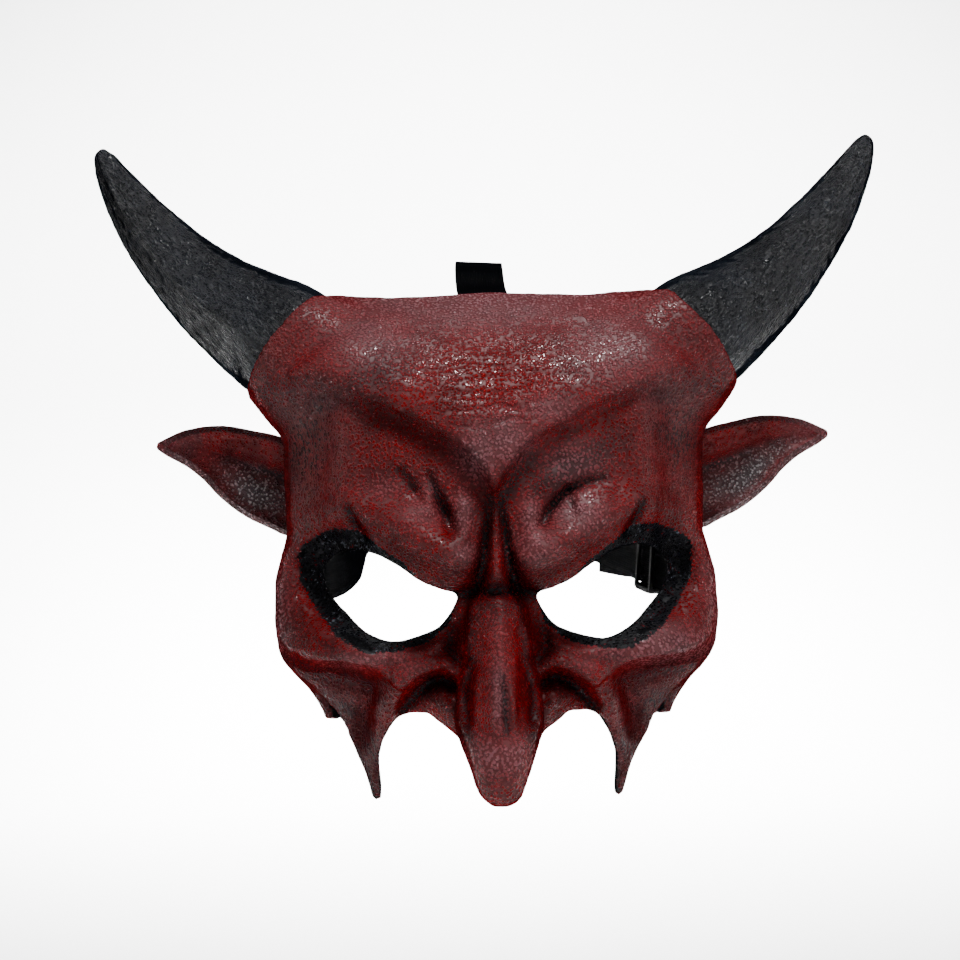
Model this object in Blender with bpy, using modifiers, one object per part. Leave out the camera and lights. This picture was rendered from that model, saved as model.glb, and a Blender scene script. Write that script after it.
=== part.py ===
"""Horned devil half mask: moulded face shell, horns, ears and an adjustable elastic head harness.

Frame: origin between the eyes at the root of the nose, +X to the right as the mask is
looked at, +Z up, and the face looks along -Y. All tables are in millimetres; the meshes
are in metres. The relief of the face is drawn in a front drawing: where a point of the
surface appears, on the plane y = 0, to an eye VIEW_DISTANCE in front of it. Relief is
raised along that eye's sight lines, so it stays where the drawing has it.
"""

import math

import bmesh
import bpy
import numpy as np
from mathutils import Vector

MM = 0.001

# ---------------------------------------------------------------- driving dimensions, mm
VIEW_DISTANCE = 514.0
VIEW_HEIGHT = 31.0
SHELL_WALL = 4.0
REAR_RIM_Y = 45.0
RIM_TAPER = 4.0
GAP = 0.3

# the outer form of the face at each height: half width, front, side and squareness
FACE_FORM = {
    # z: (half_width, y_front, y_side, power)
    118: (58.0, 28.0, 34.0, 3.4),
    106: (62.0, 13.0, 28.0, 3.6),
    95: (68.0, 1.0, 25.0, 3.6),
    84: (76.0, -8.0, 23.0, 3.6),
    74: (84.0, -15.0, 21.0, 3.4),
    64: (86.0, -20.0, 19.0, 3.0),
    56: (85.0, -23.0, 18.0, 2.5),
    46: (83.0, -26.0, 17.0, 2.1),
    34: (83.0, -28.0, 16.0, 2.0),
    20: (82.5, -28.0, 15.0, 2.0),
    10: (82.0, -27.0, 15.0, 2.1),
    2: (84.5, -25.0, 15.0, 2.3),
    -8: (87.0, -22.0, 15.0, 2.5),
    -25: (87.0, -20.0, 14.0, 2.7),
    -36: (85.5, -19.0, 14.0, 2.7),
    -43: (81.0, -17.5, 14.0, 2.4),
    -50: (74.5, -16.5, 14.0, 2.1),
    -58: (69.5, -15.0, 14.0, 2.0),
    -66: (67.0, -12.0, 13.0, 2.0),
    -80: (64.0, -7.0, 12.0, 2.0),
    -98: (60.0, -2.0, 10.0, 2.0),
}
# the hollow stays clear of the solid horn corners of the forehead: its half width there
HOLLOW_LIMIT = {120: 47.0, 100: 48.0, 85: 52.0, 75: 58.0, 66: 70.0, 58: 90.0}

FACE_TOP, FACE_FOOT = 116.0, -96.0
FACE_ROWS = 46
FACE_COLUMNS = 24
HOLLOW_ROWS = 30
HOLLOW_COLUMNS = 15

# ----------------------------------------------- outlines of the front drawing, right half
EYE_OUTLINE = [
    (15.2, -13.0), (21.0, -11.2), (29.0, -7.8), (36.5, -2.3), (44.5, 2.4), (51.0, 4.6),
    (57.5, 4.8), (63.0, 2.2), (66.0, -2.5), (65.5, -8.5), (62.0, -14.5), (58.0, -19.2),
    (53.0, -24.8), (47.0, -28.8), (41.0, -30.8), (34.0, -30.0), (28.0, -28.0),
    (22.0, -25.0), (18.0, -20.0),
]
LOWER_OUTLINE = [
    (0.0, -71.0), (10.0, -71.0), (15.0, -69.2), (18.8, -65.0), (24.1, -61.2),
    (27.1, -58.6), (34.0, -58.2), (38.0, -59.4), (40.0, -61.0), (42.6, -64.6),
    (45.0, -69.2), (46.2, -74.2), (46.2, -80.0), (45.7, -86.0), (45.9, -90.8),
    (47.6, -91.4), (49.0, -90.2), (51.5, -81.0), (54.4, -74.0), (57.3, -67.4),
    (60.6, -60.2), (66.0, -59.8), (130.0, -59.8),
]
UPPER_OUTLINE = [
    (0.0, 103.2), (20.0, 102.2), (38.0, 101.6), (50.0, 102.4), (60.0, 103.0), (130.0, 103.0),
]
# the side view (y, z): the notch between the two fangs, and the free edge behind them
FANG_NOTCH = [(0.0, -66.0), (3.5, -50.0), (4.5, -50.0), (9.0, -66.0)]
TOP_SWEEP = [(-40.0, 125.0), (12.0, 113.0), (24.0, 106.0), (60.0, 96.0), (60.0, 140.0), (-40.0, 140.0)]
REAR_SWEEP = [
    (60.0, -18.0), (45.0, -23.0), (38.5, -31.0), (32.5, -42.0), (27.0, -53.0), (20.0, -66.0),
    (20.0, -120.0), (60.0, -120.0),
]

# ------------------------------------------------------- relief strokes: (x, z, height, width)
FOREHEAD_STEP = [
    (0.0, 25.0, 6.0, 8.0), (4.5, 33.0, 6.0, 8.0), (10.5, 41.0, 5.5, 8.0),
    (23.0, 50.0, 5.0, 8.0), (36.0, 57.0, 5.0, 8.0), (48.0, 62.0, 4.0, 8.0),
    (61.0, 67.0, 3.0, 8.0), (77.0, 70.0, 2.0, 8.0),
]
HORN_CORNER = [(50.0, 94.0, 2.0, 11.0), (62.0, 87.0, 7.0, 12.0), (76.0, 74.0, 7.0, 11.0)]
BROW_ROLL = [
    (13.0, 0.0, 13.0, 9.0), (20.0, 3.0, 13.0, 10.0), (28.0, 7.5, 11.0, 10.0),
    (36.0, 12.0, 9.0, 10.0), (44.0, 16.0, 7.0, 9.0), (52.0, 19.0, 5.0, 9.0),
    (59.0, 21.0, 3.0, 8.0),
]
EYE_SOCKET = [
    (18.0, -22.0, -3.0, 7.0), (28.0, -29.0, -2.0, 7.0), (41.0, -32.0, -2.0, 7.0),
    (50.0, -28.0, -3.0, 7.0), (58.0, -21.0, -6.0, 8.0), (64.0, -15.0, -10.0, 9.0),
    (69.0, -8.0, -14.0, 10.0), (69.0, -2.0, -15.0, 10.0), (65.0, 4.0, -12.0, 9.0),
    (58.0, 7.0, -6.0, 8.0),
]
CHEEK_BONE = [
    (38.0, -38.0, 3.0, 7.0), (48.0, -37.0, 5.0, 7.0), (60.0, -33.0, 6.0, 8.0),
    (72.0, -30.0, 6.0, 9.0), (80.0, -28.0, 3.0, 9.0),
]
SNARL_ARCH = [
    (8.0, -43.0, 4.0, 7.0), (15.0, -40.5, 6.0, 7.0), (25.0, -41.0, 7.0, 7.0),
    (37.5, -46.5, 7.0, 7.0), (43.0, -56.0, 7.0, 7.0), (46.0, -70.4, 6.0, 7.0),
    (48.2, -82.0, 4.0, 6.0), (47.5, -91.0, 3.0, 6.0),
]
NOSTRIL_WING = [(20.0, -53.0, 6.0, 7.0), (16.0, -62.0, 5.0, 7.0)]
STROKES = (HORN_CORNER, BROW_ROLL, EYE_SOCKET, CHEEK_BONE, SNARL_ARCH, NOSTRIL_WING)

# ------------------------------------------------------------------------- nose, true places
NOSE_STATIONS = [
    # z, y_front, y_back, half_width at the ridge, half_width at the back
    (8.0, -26.0, -8.0, 3.0, 5.0), (-2.0, -30.0, -8.0, 7.0, 10.0), (-12.0, -33.0, -8.0, 9.0, 14.0),
    (-24.0, -38.0, -8.0, 10.0, 16.0), (-36.0, -44.0, -8.0, 10.5, 18.0),
    (-48.0, -49.5, -10.0, 10.5, 20.0), (-56.0, -52.5, -16.0, 10.8, 20.5),
    (-62.0, -54.0, -22.0, 10.8, 17.8), (-68.0, -55.0, -29.0, 10.2, 13.8),
    (-74.0, -54.8, -36.0, 9.0, 10.4), (-79.0, -53.5, -41.0, 7.4, 7.8), (-82.0, -51.5, -44.0, 5.2, 5.0),
    (-83.6, -49.0, -46.0, 2.5, 2.5),
]
NOSE_CAVITY = [
    (0.0, -22.0, 0.0, 3.5, 6.0), (-12.0, -27.0, 0.0, 5.0, 9.0), (-24.0, -32.0, 0.0, 6.0, 11.0),
    (-36.0, -38.0, 0.0, 6.5, 12.0), (-48.0, -42.0, 0.0, 6.0, 12.0), (-55.0, -41.0, 0.0, 4.0, 8.0),
]
NOSE_SIDES = 20

# --------------------------------------------------------------------------- horns and sleeves
SLEEVE_RIM = np.array([80.1, 20.0, 86.2])
SLEEVE_AXIS = np.array([0.777, 0.139, 0.614]) / np.linalg.norm([0.777, 0.139, 0.614])
SLEEVE_STATIONS = [(0.0, 26.7, 26.4), (-6.0, 28.2, 26.4), (-13.0, 30.0, 26.0), (-22.0, 30.0, 24.0)]
SOCKET_RADIUS = 24.7
SOCKET_DEPTH = 14.0
HORN_STATIONS = [
    # x, y, z, diameter of the free horn, from just outside the sleeve to the tip
    (86.5, 21.8, 90.2, 48.0), (96.5, 24.0, 96.6, 43.6), (111.0, 27.0, 107.0, 37.2),
    (126.5, 29.5, 121.5, 30.0), (140.0, 30.5, 137.5, 23.6), (150.5, 30.0, 153.5, 15.6),
    (155.5, 29.0, 163.5, 9.2), (156.8, 28.5, 167.5, 4.6),
]
HORN_LEAN_IN = {-1: 0.0, 1: 2.4}  # the right tip stands a little closer in than the left one
HORN_SIDES = 16
HORN_RINGS = 20

# --------------------------------------------------------------------------------------- ears
EAR_UPPER = [
    (74.0, 45.0), (84.0, 49.3), (91.6, 51.2), (101.2, 53.3), (108.0, 53.6), (114.7, 52.6),
    (120.5, 50.8), (128.3, 46.7),
]
EAR_LOWER = [
    (74.0, 12.0), (80.1, 11.2), (86.5, 14.2), (94.2, 18.0), (100.5, 22.5), (105.8, 27.4),
    (110.8, 33.2), (117.2, 38.6), (124.5, 43.2), (128.3, 46.7),
]
EAR_ROOT_Y, EAR_TIP_Y, EAR_CUP = 20.0, 37.0, 9.0
EAR_WALL = 3.5

# ------------------------------------------------------------------------------ elastic harness
STRAP_WIDTH, STRAP_THICK = 20.0, 1.5
GLUED_CLEAR = GAP + STRAP_THICK / 2 + 0.25
FOREHEAD_CLEAR = GAP + STRAP_THICK / 2 + 0.6
PATCH_THICK = 1.0
JUNCTION = np.array([0.0, 152.0, 22.0])
ANCHOR_Z = -10.0
ANCHOR_FRONT_Y, ANCHOR_END_Y = 19.0, 42.0
RUN_START = np.array([75.2, 50.0, -9.2])
RUN_END = np.array([45.0, 122.0, 3.0])
SLIDER_AT = 20.0
TAIL_LENGTH = 48.0
TAIL_DROOP = 5.0

parts = None
cutters = None


# ------------------------------------------------------------------------------ scene helpers
def clear_scene():
    for old in list(bpy.data.objects):
        bpy.data.objects.remove(old, do_unlink=True)


def new_collection(name):
    made = bpy.data.collections.new(name)
    bpy.context.scene.collection.children.link(made)
    return made


def finish_material(name, colour, roughness):
    material = bpy.data.materials.new(name)
    material.use_nodes = True
    shader = material.node_tree.nodes["Principled BSDF"]
    shader.inputs["Base Color"].default_value = (*colour, 1.0)
    shader.inputs["Roughness"].default_value = roughness
    shader.inputs["Metallic"].default_value = 0.0
    return material


def add_mesh(name, shape, collection, material=None, smooth=True):
    """Turn a finished bmesh into an object, with its faces pointing out."""
    bmesh.ops.recalc_face_normals(shape, faces=shape.faces)
    mesh = bpy.data.meshes.new(name)
    shape.to_mesh(mesh)
    shape.free()
    if material:
        mesh.materials.append(material)
    if smooth:
        mesh.shade_smooth()
        mesh.set_sharp_from_angle(angle=math.radians(40))
    thing = bpy.data.objects.new(name, mesh)
    collection.objects.link(thing)
    if collection is cutters:
        thing.hide_render = True
        thing.display_type = "WIRE"
    return thing


def boolean(target, tool, operation):
    modifier = target.modifiers.new(f"{operation.lower()}_{tool.name}"[:60], "BOOLEAN")
    modifier.operation = operation
    modifier.object = tool
    return modifier


def solidify(target, thickness, offset=0.0):
    modifier = target.modifiers.new("wall", "SOLIDIFY")
    modifier.thickness = thickness * MM
    modifier.offset = offset
    modifier.use_even_offset = True
    return modifier


# -------------------------------------------------------------------------- numeric helpers
def read_table(table, z, spread=3.0):
    """Rows of a height table read at the heights z, eased over a few millimetres."""
    heights = sorted(table)
    rows = np.array([np.atleast_1d(table[h]) for h in heights])
    steps = np.linspace(-spread, spread, 5)
    columns = [
        np.mean([np.interp(z + step, heights, column) for step in steps], axis=0)
        for column in rows.T
    ]
    return columns if len(columns) > 1 else columns[0]


def through_points(points, per_span=4, closed=False):
    """A smooth curve through hand-placed points (Catmull-Rom)."""
    given = np.array(points, float)
    count = len(given)
    spans = count if closed else count - 1
    curve = []
    for i in range(spans):
        if closed:
            a, b, c, d = (given[(i + k) % count] for k in (-1, 0, 1, 2))
        else:
            a, b, c, d = (given[min(max(i + k, 0), count - 1)] for k in (-1, 0, 1, 2))
        for t in np.arange(per_span) / per_span:
            curve.append(
                0.5 * (2 * b + (c - a) * t + (2 * a - 5 * b + 4 * c - d) * t**2
                       + (3 * b - a - 3 * c + d) * t**3)
            )
    if not closed:
        curve.append(given[-1])
    return np.array(curve)


def resample(points, count):
    """The same line with its points evenly spaced."""
    points = np.array(points, float)
    run = np.concatenate([[0.0], np.cumsum(np.linalg.norm(np.diff(points, axis=0), axis=1))])
    at = np.linspace(0.0, run[-1], count)
    return np.stack([np.interp(at, run, column) for column in points.T], axis=1)


def to_drawing(point):
    scale = VIEW_DISTANCE / (VIEW_DISTANCE + point[..., 1])
    return point[..., 0] * scale, VIEW_HEIGHT + (point[..., 2] - VIEW_HEIGHT) * scale


def from_drawing(x, z, y):
    scale = (VIEW_DISTANCE + y) / VIEW_DISTANCE
    return np.stack([x * scale, y + 0.0 * x, VIEW_HEIGHT + (z - VIEW_HEIGHT) * scale], axis=-1)


# ----------------------------------------------------------------------------- face surface
def nearest_on_stroke(x, z, stroke):
    """For each place: signed distance to the stroke, and its height and width there."""
    near = np.full(x.shape, np.inf)
    signed, height, width = np.zeros(x.shape), np.zeros(x.shape), np.ones(x.shape)
    for (x0, z0, h0, w0), (x1, z1, h1, w1) in zip(stroke, stroke[1:]):
        dx, dz = x1 - x0, z1 - z0
        t = np.clip(((x - x0) * dx + (z - z0) * dz) / (dx * dx + dz * dz), 0.0, 1.0)
        away = np.hypot(x - x0 - t * dx, z - z0 - t * dz)
        side = np.sign(dx * (z - z0) - dz * (x - x0))
        closer = away < near
        near = np.where(closer, away, near)
        signed = np.where(closer, away * side, signed)
        height = np.where(closer, h0 + t * (h1 - h0), height)
        width = np.where(closer, w0 + t * (w1 - w0), width)
    return signed, height, width


def relief(x, z):
    """How far the face stands out of its smooth form, at places of the front drawing."""
    x = np.abs(x)
    out = np.zeros(x.shape)
    for stroke in STROKES:
        away, height, width = nearest_on_stroke(x, z, stroke)
        out += height * np.exp(-((away / width) ** 2))
    away, height, width = nearest_on_stroke(x, z, FOREHEAD_STEP)
    rise = np.clip(away / width + 0.5, 0.0, 1.0)
    fade = np.exp(-((np.maximum(away, 0.0) / 38.0) ** 2))
    return out + height * rise * rise * (3.0 - 2.0 * rise) * fade


def hollow_relief(x, z):
    """The inside backs off from the sunk places of the outside and ignores the raised ones."""
    rings = [np.zeros(x.shape)]
    for angle in np.arange(8) * math.pi / 4:
        for reach in (0.0, 0.8, 1.6):
            step = reach * SHELL_WALL
            rings.append(relief(x + step * math.cos(angle), z + step * math.sin(angle)))
    return np.min(rings, axis=0)


def face_rows(z_values, columns, inset, rear_y, raised, limit=None):
    """Level sections of the face form, from the left rear rim over the front to the right one."""
    rows = []
    for z in z_values:
        half, front, side, power = read_table(FACE_FORM, z)
        half, front = half - inset, front + inset
        if limit:
            half = min(half, read_table(limit, z))
        angle = np.linspace(0.0, math.pi / 2, 60)
        x = half * np.sin(angle) ** (2 / power)
        y = side - (side - front) * np.cos(angle) ** (2 / power)
        slope = RIM_TAPER / (REAR_RIM_Y - side)
        x = np.append(x, half - slope * (rear_y - side))
        y = np.append(y, rear_y)
        line = resample(np.stack([x, y], axis=1), columns)
        line = np.concatenate([line[:0:-1] * [-1, 1], line])
        rows.append(np.column_stack([line, np.full(len(line), z)]))
    grid = np.array(rows)
    drawn = to_drawing(grid)
    height = np.where(grid[..., 1] >= rear_y - 0.01, 0.0, raised(*drawn))
    eye = np.array([0.0, -VIEW_DISTANCE, VIEW_HEIGHT])
    share = height / (VIEW_DISTANCE + grid[..., 1])
    return grid + (eye - grid) * share[..., None]


def loft(rings):
    """A closed solid through closed rings that have the same number of points."""
    shape = bmesh.new()
    made = [[shape.verts.new(point * MM) for point in ring] for ring in rings]
    count = len(made[0])
    for low, high in zip(made, made[1:]):
        for i in range(count):
            j = (i + 1) % count
            shape.faces.new((low[i], low[j], high[j], high[i]))
    shape.faces.new(made[0][::-1])
    shape.faces.new(made[-1])
    bmesh.ops.triangulate(shape, faces=shape.faces, quad_method="SHORT_EDGE")
    return shape


def face_solid(name, collection, inset=0.0, rear_y=REAR_RIM_Y, raised=relief, limit=None,
               rows=FACE_ROWS, columns=FACE_COLUMNS, ends=(FACE_FOOT, FACE_TOP)):
    rings = face_rows(np.linspace(*ends, rows), columns, inset, rear_y, raised, limit)
    return add_mesh(name, loft(rings), collection)


# ---------------------------------------------------------------------------------- cutters
def sight_prism(name, outline, near_y, far_y):
    """A cutter whose sides run along the sight lines of the front drawing."""
    outline = np.array(outline)
    rings = [from_drawing(outline[:, 0], outline[:, 1], y) for y in (near_y, far_y)]
    return add_mesh(name, loft(rings), cutters, smooth=False)


def side_prism(name, outline, x_from, x_to):
    rings = [[np.array([x, y, z]) for y, z in outline] for x in (x_from, x_to)]
    return add_mesh(name, loft(rings), cutters, smooth=False)


def mirrored_outline(half):
    """A half outline from the middle outwards, made whole."""
    right = np.array(half)
    left = right[:0:-1] * [-1, 1] if right[0][0] == 0.0 else right[::-1] * [-1, 1]
    return np.concatenate([left, right])


# ------------------------------------------------------------------------------------ pieces
def nose_solid(name, stations, collection):
    """A drooping nose: level rounded sections, blunt in front and closed at the tip."""
    angle = np.arange(NOSE_SIDES) * 2 * math.pi / NOSE_SIDES
    rings = []
    for z, front, back, half_ridge, half_back in stations:
        middle, reach = (front + back) / 2, (back - front) / 2
        half = half_ridge + (half_back - half_ridge) * (1.0 - np.cos(angle)) / 2
        x = half * np.sign(np.sin(angle)) * np.abs(np.sin(angle)) ** 0.85
        y = middle - reach * np.cos(angle)
        rings.append(np.column_stack([x, y, np.full(NOSE_SIDES, z)]))
    return add_mesh(name, loft(rings), collection)


def sleeve_frame(side):
    """The horn sleeve's axis, its direction in the front plane and its depth direction."""
    axis = SLEEVE_AXIS * [side, 1, 1]
    across = np.array([-axis[2], 0.0, axis[0]])
    across /= np.linalg.norm(across)
    depth = np.cross(axis, across)
    return axis, across, depth


def ring_about(centre, across, depth, half_across, half_depth, sides):
    angle = np.arange(sides) * 2 * math.pi / sides
    return (centre + np.outer(np.cos(angle), across) * half_across
            + np.outer(np.sin(angle), depth) * half_depth)


def sleeve_solid(side):
    axis, across, depth = sleeve_frame(side)
    rim = SLEEVE_RIM * [side, 1, 1]
    rings = [
        ring_about(rim + axis * along, across, depth, half_across, half_depth, 24)
        for along, half_across, half_depth in SLEEVE_STATIONS
    ]
    return add_mesh(f"sleeve_form_{side:+d}", loft(rings), cutters)


def socket_cutter(side):
    axis, across, depth = sleeve_frame(side)
    rim = SLEEVE_RIM * [side, 1, 1]
    rings = [
        ring_about(rim + axis * along, across, depth, SOCKET_RADIUS, SOCKET_RADIUS, 24)
        for along in (-SOCKET_DEPTH, 6.0)
    ]
    return add_mesh(f"horn_socket_{side:+d}", loft(rings), cutters)


def build_face_shell(material):
    shell = face_solid("face_shell", parts)
    shell.data.materials.append(material)
    above = np.concatenate([mirrored_outline(UPPER_OUTLINE), [(130.0, 150.0), (-130.0, 150.0)]])
    boolean(shell, sight_prism("above_the_forehead", above, -60.0, 80.0), "DIFFERENCE")
    boolean(shell, side_prism("top_sweep", TOP_SWEEP, -120.0, 120.0), "DIFFERENCE")
    for side in (-1, 1):
        boolean(shell, sleeve_solid(side), "UNION")
    boolean(shell, face_solid(
        "face_hollow", cutters, SHELL_WALL, REAR_RIM_Y + 12.0, hollow_relief, HOLLOW_LIMIT,
        HOLLOW_ROWS, HOLLOW_COLUMNS, (FACE_FOOT - 6.0, FACE_TOP + 6.0)), "DIFFERENCE")
    lower = mirrored_outline(LOWER_OUTLINE)
    below = np.concatenate([lower, [(130.0, -160.0), (-130.0, -160.0)]])
    boolean(shell, sight_prism("below_the_fangs", below, -95.0, 80.0), "DIFFERENCE")
    boolean(shell, nose_solid("nose_form", NOSE_STATIONS, cutters), "UNION")
    boolean(shell, nose_solid("nose_hollow", NOSE_CAVITY, cutters), "DIFFERENCE")
    eye = through_points(EYE_OUTLINE, per_span=2, closed=True)
    for side in (-1, 1):
        boolean(shell, sight_prism(f"eye_opening_{side:+d}", eye * [side, 1], -80.0, 40.0),
                "DIFFERENCE")
        boolean(shell, socket_cutter(side), "DIFFERENCE")
        boolean(shell, side_prism(f"fang_notch_{side:+d}", FANG_NOTCH, side * 58.5, side * 110.0),
                "DIFFERENCE")
    boolean(shell, side_prism("rear_sweep", REAR_SWEEP, -120.0, 120.0), "DIFFERENCE")
    return shell


def build_horn(side, material):
    """A horn foot that fills the sleeve's socket, and the free horn curving up to its tip."""
    axis, across, depth = sleeve_frame(side)
    rim = SLEEVE_RIM * [side, 1, 1]
    foot_radius = SOCKET_RADIUS - GAP
    rings = [
        ring_about(rim + axis * along, across, depth, foot_radius, foot_radius, HORN_SIDES)
        for along in (GAP - SOCKET_DEPTH, 0.0)
    ]
    stations = np.array([(side * x, y, z, d) for x, y, z, d in HORN_STATIONS])
    share = (np.abs(stations[:, 0]) - SLEEVE_RIM[0]) / (HORN_STATIONS[-1][0] - SLEEVE_RIM[0])
    stations[:, 0] -= side * HORN_LEAN_IN[side] * share
    first = np.append(rim + axis, 2 * foot_radius)
    line = resample(through_points(np.vstack([first, stations])), HORN_RINGS)
    for i, (x, y, z, diameter) in enumerate(line):
        ahead = line[min(i + 1, HORN_RINGS - 1)][:3] - line[max(i - 1, 0)][:3]
        ahead /= np.linalg.norm(ahead)
        sideways = across - ahead * across.dot(ahead)
        sideways /= np.linalg.norm(sideways)
        rings.append(ring_about(np.array([x, y, z]), sideways, np.cross(ahead, sideways),
                                diameter / 2, diameter / 2, HORN_SIDES))
    name = "horn_right" if side > 0 else "horn_left"
    return add_mesh(name, loft(rings), parts, material)


def build_ear(side, material, wall_clearance):
    """A cupped leaf, its rims forward of its middle, trimmed to the side of the face."""
    along, across = 14, 7
    upper = resample(through_points(EAR_UPPER), along)
    lower = resample(through_points(EAR_LOWER), along)
    shape = bmesh.new()
    bmesh.ops.create_grid(shape, x_segments=along - 1, y_segments=across - 1, size=1.0)
    for vert in shape.verts:
        u = (vert.co.x + 1.0) / 2 * (along - 1)
        v = (vert.co.y + 1.0) / 2
        i = min(int(round(u)), along - 1)
        share = i / (along - 1)
        tip_v = 0.5 + (v - 0.5) * (1.0 if i < along - 1 else 0.02)
        x, z = lower[i] + (upper[i] - lower[i]) * tip_v
        if i == along - 1:
            z += (v - 0.5) * 1.2
        cup = EAR_CUP * (1.0 - (2.0 * v - 1.0) ** 2) * (1.0 - share) ** 0.6
        y = EAR_ROOT_Y + (EAR_TIP_Y - EAR_ROOT_Y) * share + cup
        vert.co = Vector(from_drawing(np.array(x), np.array(z), y) * [side, 1, 1]) * MM
    name = "ear_right" if side > 0 else "ear_left"
    ear = add_mesh(name, shape, parts, material)
    solidify(ear, EAR_WALL)
    boolean(ear, wall_clearance, "DIFFERENCE")
    return ear


def ribbon(name, centres, faces, width, thickness, material):
    """A flat strap along a line of centres; faces are the directions its flat side looks in."""
    centres = np.array(centres, float)
    count = len(centres)
    ahead = np.gradient(centres, axis=0)
    ahead /= np.linalg.norm(ahead, axis=1)[:, None]
    across = np.cross(ahead, np.array(faces, float))
    across /= np.linalg.norm(across, axis=1)[:, None]
    shape = bmesh.new()
    bmesh.ops.create_grid(shape, x_segments=count - 1, y_segments=1, size=1.0)
    for vert in shape.verts:
        i = int(round((vert.co.x + 1.0) / 2 * (count - 1)))
        vert.co = Vector(centres[i] + across[i] * (width / 2) * np.sign(vert.co.y)) * MM
    strap = add_mesh(name, shape, parts, material)
    solidify(strap, thickness)
    return strap


def inner_wall_x(y, z):
    """Half width of the hollow on its straight rear stretch."""
    half, _, side, _ = read_table(FACE_FORM, z)
    return half - SHELL_WALL - RIM_TAPER / (REAR_RIM_Y - side) * (y - side)


def glued_strap_x(y):
    """Centre of a side strap's end, upright against the narrowest level under its width."""
    levels = ANCHOR_Z + np.array([-0.5, 0.0, 0.5]) * STRAP_WIDTH
    return min(inner_wall_x(y, z) for z in levels) - GLUED_CLEAR


def wall_run():
    ys = np.linspace(ANCHOR_FRONT_Y, ANCHOR_END_Y, 4)
    return [(glued_strap_x(y), y, ANCHOR_Z) for y in ys]


def build_side_strap_left(material):
    glued = wall_run()
    free = [
        (74.0, 56.0, -11.0), (69.0, 70.0, -11.0), (65.0, 82.0, -9.0), (62.0, 95.0, -5.0),
        (61.0, 106.0, 1.0), (60.0, 116.0, 7.0), (55.5, 128.0, 12.5), (46.0, 139.5, 17.0),
        (35.0, 147.5, 20.5), (25.0, 151.6, 21.9),
    ]
    sewn = [(18.0, 152.0, 22.0), (9.0, 152.0, 22.0), (1.0, 152.0, 22.0)]
    line = resample(through_points(glued + free + sewn, 3), 34) * [-1, 1, 1]
    return ribbon("side_strap_left", line, outward_faces(line), STRAP_WIDTH, STRAP_THICK, material)


def outward_faces(line):
    """Level directions that look away from the head, square to each stretch of a side strap."""
    ahead = np.gradient(np.array(line), axis=0)
    ahead[:, 2] = 0.0
    faces = np.cross(ahead, [0.0, 0.0, 1.0])
    return faces / np.linalg.norm(faces, axis=1)[:, None]


def build_side_strap_right(material):
    """Glued to the wall, dead straight where the slider rides, then curved in to the junction."""
    glued = wall_run()
    straight = [RUN_START + (RUN_END - RUN_START) * share for share in (0.0, 1.0)]
    curve = through_points([
        RUN_END - (RUN_END - RUN_START) * 0.1, RUN_END, (38.0, 134.5, 6.5),
        (31.0, 143.5, 11.5), (25.0, 149.4, 16.8), (19.5, 151.9, 20.6), (9.0, 152.0, 22.0),
        (1.0, 152.0, 22.0),
    ], 3)[3:]
    line = np.vstack([glued, straight, curve[1:]])
    return ribbon("side_strap_right", line, outward_faces(line), STRAP_WIDTH, STRAP_THICK, material)


def forehead_inside_y(z):
    point = face_rows([z], 40, SHELL_WALL, REAR_RIM_Y + 12.0, hollow_relief, HOLLOW_LIMIT)[0]
    return point[len(point) // 2]


def build_top_strap(material):
    """Glued inside the forehead, over the crown in a free arc, and down to the junction."""
    glued = [forehead_inside_y(z) + [0.0, FOREHEAD_CLEAR, 0.0] for z in (74.0, 82.0, 90.0, 98.0)]
    free = [
        (-1.0, 29.0, 109.0), (-2.6, 43.0, 118.5), (-3.4, 60.0, 124.0), (-3.4, 80.0, 125.0),
        (-2.8, 100.0, 119.5), (-1.8, 118.0, 106.5), (-0.8, 133.0, 88.0), (-0.3, 145.0, 67.0),
        (0.0, 151.5, 51.0),
    ]
    sewn = [(0.0, 152.0, 43.0), (0.0, 152.0, 33.0)]
    line = resample(through_points(list(glued) + free + sewn, 3), 34)
    ahead = np.gradient(line, axis=0)
    faces = np.cross([1.0, 0.0, 0.0], ahead)
    lean = np.clip(np.sin(np.linspace(0.0, math.pi, len(line))) * 1.5 - 0.6, 0.0, 1.0) * 0.16
    faces = faces / np.linalg.norm(faces, axis=1)[:, None] + np.outer(lean, [1.0, 0.0, 0.0])
    return ribbon("top_strap", line, faces, STRAP_WIDTH, STRAP_THICK, material)


def draped_patch(name, place, half_long, half_wide, material):
    """A glued fabric patch that lies on the wall and steps up over the strap end under it."""
    half_strap = STRAP_WIDTH / 2
    across = [-half_wide, -half_strap - 4.0, -half_strap - 1.0, half_strap + 1.0,
              half_strap + 4.0, half_wide]
    raised = [False, False, True, True, False, False]
    along = np.linspace(-half_long, half_long, 5)
    shape = bmesh.new()
    bmesh.ops.create_grid(shape, x_segments=len(along) - 1, y_segments=len(across) - 1, size=1.0)
    for vert in shape.verts:
        i = int(round((vert.co.x + 1.0) / 2 * (len(along) - 1)))
        j = int(round((vert.co.y + 1.0) / 2 * (len(across) - 1)))
        vert.co = Vector(place(along[i], across[j], raised[j])) * MM
    patch = add_mesh(name, shape, parts, material)
    solidify(patch, PATCH_THICK)
    return patch


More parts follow.
